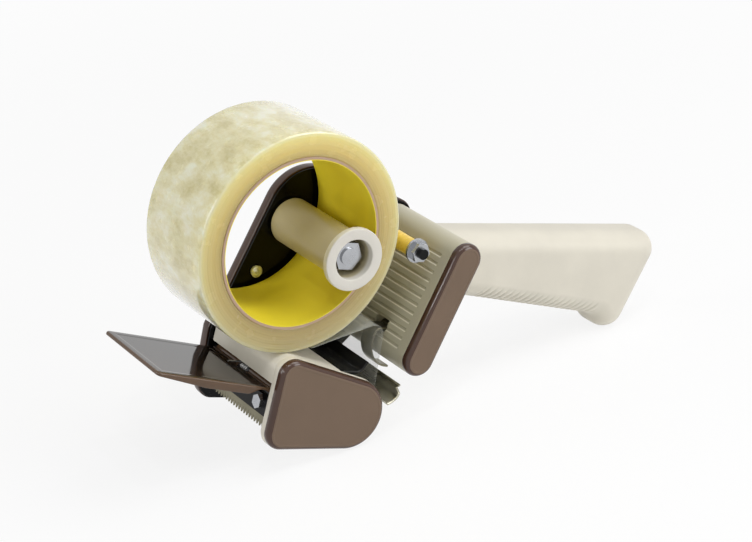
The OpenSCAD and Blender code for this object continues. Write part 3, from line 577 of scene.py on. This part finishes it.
def belt(circles, step=4.0):
    """Outline and outward normals round a chain of circles (x, z, r), anticlockwise."""
    c = np.asarray(circles, float)
    leave = [leaving(a, b) for a, b in zip(c, np.roll(c, -1, 0))]
    arcs = [corner_arc(k, k[2], a, b, step) for k, a, b in zip(c, np.roll(leave, 1, 0), leave)]
    return np.concatenate([p for p, _ in arcs]), np.concatenate([m for _, m in arcs])


def slab(circles, rows):
    """Grid of a slab: each row is (how far the outline is set back, the plane y)."""
    p, n = belt(circles)
    back, y = np.array(rows).T
    return grid_of(p[None] - back[:, None, None] * n[None], y[:, None])


print("belt points of the head:", len(belt([toe, chin, heel])[0]))

# %% [markdown]
# The brown caps snap onto the near side of the head and of the handle block. Each is a slab with a
# quarter-round rim and a face let in by a tenth of a millimetre, as a moulded cap has, so the rim
# carries the long highlights while the face stays dull. The rows of a section are pairs: how far the
# outline is set back, and the place across the gun.

# %% Caps and far cover
rim_e, rim_face, cap_deep, sanded_bands = 2.6, 0.6, 4.0, 6
quarter = np.linspace(0, np.pi / 2, 11)


def cap_rows(base, out, depth):
    """Rim of a cap from its base plane outward: a broken edge, a wall, a quarter round, a let-in face."""
    wall = [(0.3, 0.0), (0.08, 0.08), (0.0, 0.3), (0.0, depth - rim_e)]
    round_ = [(rim_e * (1 - np.cos(a)), depth - rim_e + rim_e * np.sin(a)) for a in quarter[1:]]
    face = [(rim_e + b, depth - d) for b, d in ((0.15, 0), (0.3, 0.06), (0.4, 0.1), (rim_face, 0.1))]
    return [(back, base + out * h) for back, h in wall + round_ + face]


def cap_skin(name, circles, rows):
    """Cap in two finishes: a polished rim, and sanded from near the end of its rounding inward."""
    bands = len(rows) - 1
    return skin(name, slab(circles, rows), [brown_rim, brown_face], end_finish=(0, 1),
                strips=np.arange(bands) >= bands - sanded_bands)


near_rows = cap_rows(y_near, -1, cap_deep)
fit(cap_skin("head_cap_skin", [toe, chin, heel], near_rows), "head_cap")
fit(cap_skin("block_cap_skin", [crown, foot], near_rows), "block_cap")
y_floor = y_plate + 0.02
hollow = [(rim_e + rim_face, y_skin), (rim_e + rim_face, y_floor), (0.3, y_floor)]
cover_rows = hollow + cap_rows(y_plate, 1, y_cover - y_plate)[1:]
fit(cap_skin("side_cover_skin", plate_circles, cover_rows), "side_cover")

# %% [markdown]
# The steel side plate was blanked and tumbled, so its edge is slightly rounded and catches a thin line
# of light. A bead of half a millimetre laid along the edge gives that line without touching the plate.

# %% Rounded edge of the plate
bead_r, bead_in, bead_lift, plate_inset = 0.5, 0.35, 0.45, 0.8
edge_p, edge_n = belt(plate_circles - [0, 0, plate_inset])
bead_a = full_turn(12)
bead_back = bead_in + bead_r * np.cos(bead_a)
bead_xz = edge_p[:, None] - bead_back[None, :, None] * edge_n[:, None]
bead = grid_of(bead_xz, y_in + bead_lift + bead_r * np.sin(bead_a))
fit(skin("plate_edge", bead, [black_enamel], ring=True))

# %% [markdown]
# The head is one moulding: a near cheek, a wall that runs from the mouth over the toe and back toward
# the roller, and a screwed flange against the plate. The wall is a strip carried along its side view,
# with rounded edges. The same function later makes the tape and the bent steel guides.


# %% Strips along a side view
def ribbon(path, t, y_lo, y_hi):
    """Sheet of thickness t along a path: the section has straight faces and half-round long edges."""
    path = np.asarray(path, float)
    way = unit(np.gradient(path, axis=0))
    n = np.stack([-way[:, 1], way[:, 0]], -1)
    half = 9
    a = np.radians(np.concatenate([np.linspace(90, -90, half), np.linspace(-90, -270, half)]))
    far = np.arange(2 * half) < half
    lift = t / 2 * np.sin(a)
    xz = path[:, None] + lift[None, :, None] * n[:, None]
    y = np.where(far, y_hi - t / 2, np.reshape(y_lo, (-1, 1)) + t / 2)
    return grid_of(xz, y + t / 2 * np.cos(a))


def smooth(points, per_mm=1.6):
    """Resamples a path evenly by its running length."""
    p = np.asarray(points, float)
    s = np.concatenate([[0], np.cumsum(np.hypot(*np.diff(p, axis=0).T))])
    t = np.linspace(0, s[-1], max(8, int(s[-1] * per_mm)))
    return np.stack([np.interp(t, s, p[:, 0]), np.interp(t, s, p[:, 1])], -1)


n_top, n_front = leaving(heel, toe), leaving(toe, chin)
shell_t, x_back, z_mouth = 2.5, heel[0] - 8, toe[1] - 5.6
top_line = heel[:2] + (heel[2] - shell_t / 2) * n_top
toe_arc = corner_arc(toe, toe[2] - shell_t / 2, n_top, n_front, 3)[0]
front_slope = (chin[0] - toe[0] - chin[2] + toe[2]) / (toe[1] - chin[1])
x_wall = toe_arc[-1][0] + (toe_arc[-1][1] - z_mouth) * front_slope
wall_share = (x_back - top_line[0]) / (toe_arc[0][0] - top_line[0])
wall_path = np.concatenate([[top_line + wall_share * (toe_arc[0] - top_line)], toe_arc, [[x_wall, z_mouth]]])
eased = [(0.8, 0), (0.2, 0.15), (0, 0.6)]
cheek_rows = [(back, y_cheek - d) for back, d in eased] + [(back, y_near + d) for back, d in eased[::-1]]
fit(skin("head_cheek", slab([toe, chin, heel], cheek_rows), [beige]), "head_shell")
wall_near = y_cheek - eased[-1][1]
fit(skin("head_wall", ribbon(smooth(wall_path), shell_t, wall_near, y_in), [beige]), "head_shell")
flange_circles = [toe + [13, -4, 1], toe + [12, -22, 0], heel - [0, 0, 3]]
flange_rows = [(1.1, y_in), (0.8, y_in - 0.3), (0.8, y_flange + 0.3), (1.1, y_flange)]
fit(skin("head_flange", slab(flange_circles, flange_rows), [beige]), "head_shell")

# %% [markdown]
# Pieces that were turned or wound are surfaces of revolution: a closed loop of radius and place along
# the axis, swept round a full turn.


# %% Pieces of revolution
def lathe(centre, loop, columns=128):
    """Ring grid from a closed loop of (radius, y) turned about an axis along Y at a drawing point."""
    r, y = np.array(loop, float).T
    a = full_turn(columns)
    return grid_of(np.asarray(centre) + r[:, None, None] * np.stack([np.cos(a), np.sin(a)], -1), y[:, None])


def round_loop(r0, r1, y0, y1, e, steps=5):
    """Loop of a ring's section between two radii and two planes, corners rounded by e."""
    a = np.linspace(0, np.pi / 2, steps)
    corners = [(r1 - e, y1 - e, 0), (r0 + e, y1 - e, 1), (r0 + e, y0 + e, 2), (r1 - e, y0 + e, 3)]
    turns = [(r, y, a + q * np.pi / 2) for r, y, q in corners]
    return np.concatenate([np.stack([r + e * np.cos(b), y + e * np.sin(b)], -1) for r, y, b in turns])


post_bore, post_r, post_front, post_back, post_e = 2.02, 4.4, 11.7, 25.2, 0.3
post_loop = round_loop(post_bore, post_r, post_front, post_back, post_e)
for k, post in enumerate(toe[:2] + [[13.6, -6], [11.6, -21.8]]):
    fit(skin(f"head_post_{k + 1}", lathe(post, post_loop, 48), [beige], ring=True), "head_shell")

# %% [markdown]
# The loaded roll: its faces are the cut edges of some two hundred layers, so they ripple very slightly
# from layer to layer, and the corners are softly rounded.

# %% Wound tape
tape_half, core_r = 24.0, 39.62
roll_e, bore_e, core_step, ripple_room = 0.9, 0.3, 0.5, 0.09
face_r = np.linspace(core_r + core_step, roll_r - roll_e, 40)
ripple = 0.05 * np.sin(2.1 * face_r) + 0.03 * np.sin(5.3 * face_r + 1)
corner = np.linspace(0, np.pi / 2, 7)
outer_far = np.stack([roll_r - roll_e + roll_e * np.cos(corner), tape_half - roll_e + roll_e * np.sin(corner)], -1)
face_far = np.stack([face_r[::-1], tape_half - ripple_room + ripple[::-1]], -1)
bore_line = np.stack([np.full(6, core_r), np.linspace(tape_half - bore_e, -tape_half + bore_e, 6)], -1)
far_half = np.concatenate([outer_far, face_far])
roll_loop = np.concatenate([far_half, bore_line, far_half[::-1] * [1, -1]])
tape = skin("wound_tape_skin", lathe((0, 0), roll_loop, 224), [wound], ring=True, crease=50)
fit(tape, "wound_tape", "roll")

# %% [markdown]
# The tape leaves the roll, runs over the guide roller, down round the applying roller, and forward to
# the blade. Its path is the same chain of tangents and arcs that the solid follows, sampled finely.

# %% Run of tape
guide_r, film_t, tyre_r = 5.0, 0.3, 15.8
off = rest_gap + film_t / 2
climb = np.arcsin((roll_r + guide_r + 2 * off) / np.hypot(*guide)) + angle(guide)
over, under = np.array([*guide, guide_r + off]), np.array([*heel[:2], tyre_r + off])
cut = np.array([*toe[:2] - [1.7, 27.7], 0])
a_drop, a_lay = angle(leaving(under, over)), angle(leaving(cut, under))
from_roll = (roll_r + off) * np.array([[np.sin(climb), -np.cos(climb)]])
over_arc = bow(guide, over[2], np.pi / 2 + climb, a_drop, 4)[0]
under_arc = bow(heel, under[2], a_drop, a_lay, 4)[0]
strand_path = np.concatenate([from_roll, over_arc, under_arc, [cut[:2]]])
strand = skin("tape_run", ribbon(smooth(strand_path, 2.2), film_t, -tape_half, tape_half), [film])
fit(strand, "tape_strand")
print("tape run in mm:", round(float(np.hypot(*np.diff(strand_path, axis=0).T).sum()), 1))

# %% [markdown]
# The handle is one moulding in two forms. The grooved block is a stadium pushed across the gun; its
# front carries twelve grooves and a slot for the sprung finger, drawn by setting the front face back.
# The lower lip of each groove slopes, so it faces up and catches a line of light, and it is also painted paler, a
# painted highlight.

# %% Handle block
groove_first, groove_pitch, groove_n, groove_deep, groove_end, end_run = 1, 4.2, 12, 0.55, -24.2, 0.8
lip_low, lip_run, top_edge, top_run = 0.8, 0.6, 1.0, 0.3
groove_at = groove_first + groove_pitch * np.arange(groove_n)
slot_lo, slot_hi, slot_near, slot_far, slot_deep = 3.3, 9.2, -10.8, -1.2, 8.2


def grooves(h, y):
    """Set-back of the front at height h and place y: flat grooves, steep above, with a sloping lower lip."""
    away = h[:, None] - groove_at[None]
    above = away[np.arange(len(h)), np.abs(away).argmin(1)]
    deep = groove_deep * np.clip((top_edge - above) / top_run, 0, 1) * np.clip((above + lip_low) / lip_run, 0, 1)
    return deep[None] * np.clip((y[:, None] - groove_end) / end_run, 0, 1)


def finger_slot(h, y):
    """Set-back of the finger's slot: full depth inside its four edges."""
    inside_h = (h > slot_lo) & (h < slot_hi)
    inside_y = (y > slot_near) & (y < slot_far)
    return slot_deep * (inside_h[None] & inside_y[:, None])


def both_sides(*places):
    """Two places a little before and after each edge, so that the edge stays sharp."""
    return [p + d for p in places for d in (-0.03, 0.03)]


height = np.unique(np.concatenate([np.linspace(0, block_run, 400), both_sides(slot_lo, slot_hi)]))
smooth_end, end_from, end_to, grooved_from, inward = -24.4, -24.3, -23.2, -22, 1
block_y = np.unique(np.concatenate([np.linspace(y_near + inward, smooth_end, 4), np.linspace(end_from, end_to, 8),
                                    np.linspace(grooved_from, y_in - inward, 24), both_sides(slot_near, slot_far)]))
ease = np.array([0, 0.12, 0.4])
block_ends = np.concatenate([y_near + ease, y_in - ease[::-1]])
block_y = np.concatenate([block_ends[:3], block_y, block_ends[3:]])
block_back = np.interp(block_y, block_ends, np.concatenate([ease[::-1], ease]))
front_p = foot[:2] + np.outer(height[::-1], up) + block_r * front
over_p, over_n = bow(crown, block_r, angle(-front), angle(-front) + np.pi)
beneath_p, beneath_n = bow(foot, block_r, angle(front), angle(front) + np.pi)
block_p = np.concatenate([over_p, front_p[1:-1], beneath_p])
block_n = np.concatenate([over_n, np.broadcast_to(front, front_p[1:-1].shape), beneath_n])
back = np.broadcast_to(block_back[:, None], (len(block_y), len(block_p))).copy()
on_front = slice(len(over_p), len(over_p) + len(height) - 2)
h_front = height[::-1][1:-1]
back[:, on_front] += np.maximum(grooves(h_front, block_y), finger_slot(h_front, block_y))
block = grid_of(block_p[None] - back[..., None] * block_n[None], block_y[:, None])
fit(skin("handle_block", block, [block_mat], crease=40), "handle")

# %% [markdown]
# The painted highlights on the lips are found by place: a lip comes once in each pitch up the front, only past
# the grooves' near end, on the front face and below the top groove's upper edge.

# %% Painted highlights on the grooves' lips
lip_highlight_colour, lip_pale, lip_fade = (0.78, 0.75, 0.61, 1), 0.00045, 0.0006
lip_start, pitch_m = (groove_first - lip_low) / 1000, groove_pitch / 1000
up_front = along_way(block_mat, foot, up)
in_pitch = reckon(block_mat, "FLOORED_MODULO", reckon(block_mat, "SUBTRACT", up_front, lip_start), pitch_m)
lip_highlight = span(block_mat, in_pitch, lip_pale, lip_fade, 1, 0)
past_end, past_full, face_from, face_full, top_full, top_none = -0.0241, -0.0237, 0.0073, 0.0074, 0.0485, 0.0490
limits = [(place_on(block_mat, "Y"), past_end, past_full),
          (along_way(block_mat, foot, front), face_from, face_full),
          (up_front, top_full, top_none, 1, 0)]
for place, *ends in limits:
    lip_highlight = reckon(block_mat, "MULTIPLY", lip_highlight, span(block_mat, place, *ends))
# Painted highlight: the lips are blended toward a pale colour.
put(block_mat, mix(block_mat, lip_highlight, block_colour, lip_highlight_colour), "Base Color")
print("groove lips:", groove_n)

# %% [markdown]
# The grip is thick in the hand, so every layer from its middle plane outward has the same side view
# set back along a quarter round. The side view is a belt with one hollow: a fillet where the ribbed
# underside runs into the lobe. The ribs are shallow scallops that sweep up the sides and fade.

# %% Grip outline
grip_w, grip_e = 26.0, 10.0
from_crown = [[4.1, -4.2], [5.1, -14.1], [104.5, -22.3], [127, 2], [118.1, -29.1]]
grip_root, grip_keel, grip_heel, grip_end, lobe = (np.array([*crown[:2] + p, grip_e]) for p in from_crown)
fillet_r, ribbed_run = 4.5, 80
keel_n = leaving(grip_keel, grip_heel)
keel_way = np.array([-keel_n[1], keel_n[0]])
keel_0 = grip_keel[:2] + grip_keel[2] * keel_n
rise = (lobe[:2] - keel_0) @ keel_n - fillet_r
along = (lobe[:2] - keel_0) @ keel_way - np.sqrt((lobe[2] + fillet_r) ** 2 - rise ** 2)
hollow_at = keel_0 + along * keel_way + fillet_r * keel_n
to_lobe = (lobe[:2] - hollow_at) / (lobe[2] + fillet_r)
keel_s = np.concatenate([np.linspace(0, along - ribbed_run, 8)[:-1], np.linspace(along - ribbed_run, along, 321)])
keel_p = keel_0 + keel_s[:, None] * keel_way
a0 = angle(-keel_n)
a1 = a0 - (a0 - angle(to_lobe)) % (2 * np.pi)
fillet_p, fillet_n = bow(hollow_at, fillet_r, a0, a1, 6)
n_back, n_over, n_in = leaving(lobe, grip_end), leaving(grip_end, grip_root), leaving(grip_root, grip_keel)
arcs = [corner_arc(c, c[2], a, b) for c, a, b in ((lobe, -to_lobe, n_back), (grip_end, n_back, n_over),
                                                  (grip_root, n_over, n_in), (grip_keel, n_in, keel_n))]
grip_p = np.concatenate([keel_p, fillet_p[1:-1]] + [p for p, _ in arcs])[:-1]
grip_n = np.concatenate([np.broadcast_to(keel_n, keel_p.shape), -fillet_n[1:-1]] + [n for _, n in arcs])[:-1]
print("grip outline points:", len(grip_p), "fillet at", hollow_at.round(1))

# %% Grip with ribs
layer = np.radians(np.linspace(-89, 89, 49))
inset = grip_e * (1 - np.cos(layer))
layer_y = (grip_w / 2 - grip_e) * np.sign(np.round(layer, 6)) + grip_e * np.sin(layer)
rib_pitch, rib_n, rib_deep, rib_sweep, rib_end, rib_start = 3.7, 21, 0.75, 3.6, 0.8, 0.4
fade_from, fade_run, sweep_power, wave_power, off_keel = 84, 30, 1.3, 1.6, -1e3
s_all = np.full(len(grip_p), off_keel)
s_all[:len(keel_s)] = keel_s
swept = s_all[None] - rib_sweep * (inset[:, None] / grip_e) ** sweep_power
first = along - rib_pitch * rib_n - rib_start
last = first + rib_pitch * rib_n
wave = (1 - np.abs(np.sin(np.pi * (swept - first) / rib_pitch))) ** wave_power
inside = np.clip((swept - first) / rib_end, 0, 1) * np.clip((last - swept) / rib_end, 0, 1)
fade = np.clip((fade_from - np.abs(np.degrees(layer))) / fade_run, 0, 1)
cuts = rib_deep * wave * inside * (fade * fade * (3 - 2 * fade))[:, None] * (s_all > off_keel)[None]
full_n = np.cos(layer)[:, None]
grip_xz = grip_p[None] - (inset[:, None] + cuts * full_n)[..., None] * grip_n[None]
grip = grid_of(grip_xz, layer_y[:, None] - cuts * np.sin(layer)[:, None])
fit(skin("handle_grip", grip, [beige], crease=60), "handle")

# %% [markdown]
# The tongue lays the tape's end down ahead of the blade. It is a thin plate with its sides turned down,
# hung on two knuckles, and its top is let in a little inside a narrow border. The outline is a rounded
# rectangle; the section goes over the bend, down the rim, under it and back up inside, and the rim
# runs out toward the hinge and toward the tip. A row of the section is how far the outline is set back,
# how far down it lies, and the share of the rim's height that is added.

# %% Tongue
tongue_a = np.radians(6.8)
tongue_u = np.array([-np.cos(tongue_a), np.sin(tongue_a)])
tongue_v = np.array([-np.sin(tongue_a), -np.cos(tongue_a)])
y_tongue, y_tongue_far, tongue_len, tongue_root = -25.9, 24.2, 62.5, 3.6
tip_r, root_r, rim_start, rim_rise, rim_least, rim_more, rim_fall = 2.2, 0.3, 8, 6, 0.4, 2.4, 26
bend = np.linspace(0, np.pi / 2, 7)
inner_top = [(5.6, -0.48, 0), (4.8, -0.48, 0), (4.3, -0.48, 0), (4.0, -0.5, 0), (3.6, -0.58, 0), (3.3, -0.6, 0)]
over_bend = [(0.8 - 0.8 * np.sin(a), 0.2 - 0.8 * np.cos(a), 0) for a in bend]
rim_foot = [(0.0, 0.3, 1), (0.12, 0.52, 1), (0.4, 0.6, 1), (0.8, 0.6, 1), (1.08, 0.52, 1), (1.2, 0.3, 1)]
beneath = [(1.2, 0.4, 0), (1.35, 0.55, 0), (1.8, 0.6, 0), (2.6, 0.6, 0)]
tray_rows = inner_top + over_bend + rim_foot + beneath
tray_back, tray_v, tray_share = np.array(tray_rows).T


def tray_outline(back):
    """Tongue's outline set back by a distance: a rectangle whose rounded corners shrink to 0.2 mm.

    Each side gets evenly spaced points between its corners, so that the rim can run out along it."""
    tip, root = max(tip_r - back, 0.2), max(root_r - back, 0.2)
    u0, u1, near, far = tongue_root + back, tongue_len - back, y_tongue + back, y_tongue_far - back
    corners = belt([[u0 + root, near + root, root], [u1 - tip, near + tip, tip],
                    [u1 - tip, far - tip, tip], [u0 + root, far - root, root]], 7)[0].reshape(4, -1, 2)
    w = np.linspace(0, 1, 34)[None, 1:-1, None]
    sides = corners[:, -1:] * (1 - w) + np.roll(corners, -1, 0)[:, :1] * w
    return np.concatenate([corners, sides], 1).reshape(-1, 2)


def run_out(u):
    """Height of the turned-down rim: none at the hinge, full from 14 mm out, falling off over the tip."""
    t = np.clip((u - rim_start) / rim_rise, 0, 1)
    fall = np.clip((tongue_len - u) / rim_fall, 0, 1)
    return t * t * (3 - 2 * t) * (rim_least + rim_more * fall)


tray_uy = np.stack([tray_outline(back) for back in tray_back])
tray_down = tray_v[:, None] + tray_share[:, None] * run_out(tray_uy[..., 0])
tray_xz = hinge + tray_uy[..., :1] * tongue_u + tray_down[..., None] * tongue_v
on_top = np.arange(len(tray_rows) - 1) < len(inner_top)
tray = skin("tongue_tray", grid_of(tray_xz, tray_uy[..., 1]), [smoke_edge, smoke], end_finish=(1, 1), strips=on_top,
            crease=50)
fit(tray, "tongue", "tongue")
pin_bore, knuckle_r, knuckle_e, web_t, knuckle_in = 1.55, 2.8, 0.25, 1.5, 5.0
web = hinge + np.linspace(1.9, 4.4, 8)[:, None] * tongue_u
for side, lo, hi in (("near", y_tongue, -knuckle_in), ("far", knuckle_in, y_tongue_far)):
    knuckle = lathe(hinge, round_loop(pin_bore, knuckle_r, lo, hi, knuckle_e), 48)
    fit(skin(f"tongue_knuckle_{side}", knuckle, [smoke_edge], ring=True), "tongue", "tongue")
    fit(skin(f"tongue_web_{side}", ribbon(web, web_t, lo, hi), [smoke_edge]), "tongue", "tongue")

# %% [markdown]
# The spring that presses the tongue down is a round wire: a straight leg, four turns and a quarter round
# the pin, and a second leg. Each ring of the tube stands square to the wire.

# %% Spring
coil_r, coil_pitch, wire_r, quarter_turns, leg_rows, head_leg, tongue_leg = 2.4, 1.4, 0.45, 17, 15, 7, 9
coil_a = np.linspace(0, quarter_turns / 4 * 2 * np.pi, 420)
y_first = -coil_pitch * quarter_turns / 8
round_pin = np.stack([np.cos(coil_a), 0 * coil_a, np.sin(coil_a)], -1)
coil_y = y_first + coil_pitch * coil_a / (2 * np.pi)
coil = np.stack([hinge[0] + coil_r * np.cos(coil_a), coil_y, hinge[1] + coil_r * np.sin(coil_a)], -1)
leg = np.linspace(1, 0, leg_rows + 1)[:-1, None]
wire = np.concatenate([coil[0] - leg * [0, 0, head_leg], coil, coil[-1] - leg[::-1] * [tongue_leg, 0, 0]])
out_dir = np.concatenate([np.tile([1.0, 0, 0], (leg_rows, 1)), round_pin, np.tile([0, 0, 1.0], (leg_rows, 1))])
side_dir = unit(np.cross(unit(np.gradient(wire, axis=0)), out_dir))
ring_a = full_turn(16)[:, None]
spring = wire[:, None] + wire_r * (np.cos(ring_a) * out_dir[:, None] + np.sin(ring_a) * side_dir[:, None])
spring_wire = skin("tongue_spring_wire", spring, [wire_steel])
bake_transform(spring_wire)
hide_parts("tongue_spring")
print("spring wire in mm:", round(float(np.linalg.norm(np.diff(wire, axis=0), axis=1).sum()), 1))

# %% [markdown]
# Three bent sheets guide the tape: a black plate that closes the head's top, a bowed steel guide behind
# the roller with a notch in its near edge, and a sprung finger hooked into the block.

# %% Bent sheets
plate_top, plate_r, flap, flap_lean = heel[1] + tyre_r + 2.3, 3.0, 4.0, np.radians(28)
guide_t, rear_t, finger_t = 1.4, 1.2, 1.0
plate_bow = bow((heel[0] + 5.5 - plate_r, plate_top + plate_r), plate_r, -np.pi / 2, -flap_lean, 5)[0]
flap_end = plate_bow[-1] + flap * np.array([np.sin(flap_lean), np.cos(flap_lean)])
guide_path = np.concatenate([[[x_back + 0.6, plate_top]], plate_bow, [flap_end]])
guide_sheet = ribbon(smooth(guide_path, 4), guide_t, y_cheek + 0.6, y_in)
fit(skin("guide_plate_skin", guide_sheet, [gloss_enamel]), "guide_plate")
rear_top, rear_knee = heel[:2] + [21.6, 15.2], heel[:2] + [heel[2] + 8.5, 9.2]
rear_low = heel[:2] + [heel[2] + 1, 5.7]
notch_z, notch_half, notch_deep = heel[1] + 12.9, 1.8, 3.0
w = np.linspace(0, 1, 25)[:, None]
rear_path = smooth((1 - w) ** 2 * rear_top + 2 * w * (1 - w) * rear_knee + w ** 2 * rear_low, 6)
notch = np.clip(1 - np.abs(rear_path[:, 1] - notch_z) / notch_half, 0, 1) * notch_deep
rear_sheet = ribbon(rear_path, rear_t, y_cap + notch, y_in)
fit(skin("rear_guide_skin", rear_sheet, [bright_strip], crease=45), "rear_guide")
finger_mid, hook_r = 11.7, 3.4
finger_lo, finger_hi, eye_bore, eye_r, eye_e = -10.5, -1.5, 1.05, 2.0, 0.15
hook_centre = (foot[0] - finger_mid + hook_r, finger_eye[1] - hook_r)
finger_path = np.concatenate([[finger_eye - [1, 0]], bow(hook_centre, hook_r, np.pi / 2, np.pi, 6)[0],
                              bow(foot, finger_mid, np.pi, np.radians(272), 3)[0]])
finger_sheet = ribbon(smooth(finger_path, 4), finger_t, finger_lo, finger_hi)
fit(skin("finger_blade", finger_sheet, [strip_steel]), "finger", "finger")
eye_ring = lathe(finger_eye, round_loop(eye_bore, eye_r, finger_lo, finger_hi, eye_e), 48)
fit(skin("finger_eye", eye_ring, [strip_steel], ring=True), "finger", "finger")

# %% [markdown]
# The hub is a turned sleeve with a flange that keeps the roll on and a recess for its nut. Its corners
# are eased. The sleeve is painted darker and warmer than the flange: painted shade with the core's yellow bounce
# light in it.

# %% Hub
y_lip, y_ledge, y_hub, hub_r, flange_r, recess_r, bore_r = -28.5, -15.9, 25.1, 11.0, 14.6, 9.4, 4.05
flange_t, ledge_t, far_bore_r, hub_e, end_e = 3, 3, 8.6, 0.5, 0.3
ease_a = np.linspace(0, np.pi / 2, 5)
ease_in, ease_out = hub_e * (1 - np.sin(ease_a)), hub_e * (1 - np.cos(ease_a))
hub_loop = [(bore_r, y_ledge), (recess_r, y_ledge)]
hub_loop += [(recess_r + b, y_lip + a) for a, b in zip(ease_in, ease_out)]
hub_loop += [(flange_r - b, y_lip + a) for a, b in zip(ease_out, ease_in)]
hub_loop += [(flange_r - b, y_lip + flange_t - a) for a, b in zip(ease_in, ease_out)]
hub_loop += [(hub_r + b, y_lip + flange_t + a) for a, b in zip(ease_out, ease_in)]
hub_loop += [(hub_r, y_hub - end_e), (hub_r - end_e, y_hub), (far_bore_r, y_hub)]
hub_loop += [(far_bore_r, y_ledge + ledge_t), (bore_r, y_ledge + ledge_t)]
fit(skin("tape_hub_skin", lathe(hub, hub_loop), [hub_plastic], ring=True, crease=40), "tape_hub", "hub")

# %% [markdown]
# The screws that hold the far cover have domed heads with a cross recess. Each dome is a polar grid
# whose height falls off toward its rim, less the recess.

# %% Domed screw heads
screw_r, dome_rise, recess_deep, arm_half, arm_slope, arm_len, end_slope = 2.9, 1.25, 0.8, 0.42, 0.12, 1.5, 0.25
head_under, skirt, proud, dome_power = 1.4, 0.2, 0.02, 0.8
bore_far, bore_dip = 33, np.radians(65)
bore_post = bore_far * np.array([np.cos(bore_dip), -np.sin(bore_dip)])
screw_posts = [bore_post, stop - [7, 7.5], guide + [8.3, 2.7]]
dome_r = np.concatenate([[screw_r], np.linspace(screw_r, 0.03, 30)])
dome_a = full_turn(96)
dx, dz = dome_r[:, None] * np.cos(dome_a), dome_r[:, None] * np.sin(dome_a)
arm, out_along = np.minimum(np.abs(dx), np.abs(dz)), np.maximum(np.abs(dx), np.abs(dz))
recess = recess_deep * np.clip((arm_half - arm) / arm_slope, 0, 1) * np.clip((arm_len - out_along) / end_slope, 0, 1)
dome_h = dome_rise * (1 - (dome_r[:, None] / screw_r) ** 2) ** dome_power - recess + proud
dome_h[0] = -skirt
for k, post in enumerate(screw_posts):
    head = np.stack([post[0] + dx, y_in - head_under - dome_h, post[1] + dz], -1)
    fit(skin(f"cover_screw_head_{k + 1}", head, [gold_zinc]))

# %% [markdown]
# Every solid that still shows gets its finish on its own material slot.

# %% Finishes for the solids
solid_finish = {
    pale_plastic: ["roller_core", "hub_bushing"],
    dark_plastic: ["guide_roller"],
    yellow_plastic: ["stop_sleeve"],
    zinc: ["frame_screws", "roller_axle", "blade_bolts", "blade_nuts", "tongue_pin", "guide_axle", "guide_clip",
           "finger_pin", "stop_washer", "stop_nut", "hub_bolt", "hub_washers", "hub_nut"],
    gold_zinc: ["cover_screws"],
    strip_steel: ["blade"],
    black_enamel: ["side_plate", "blade_bar", "stop_rod"],
    rubber: ["roller_tyre"],
    board: ["tape_core"],
    liner: ["core_liner"],
}
for mat, names in solid_finish.items():
    for name in names:
        nodes[name].data.materials.clear()
        nodes[name].data.materials.append(mat)
print("solids with a finish:", sum(len(v) for v in solid_finish.values()))
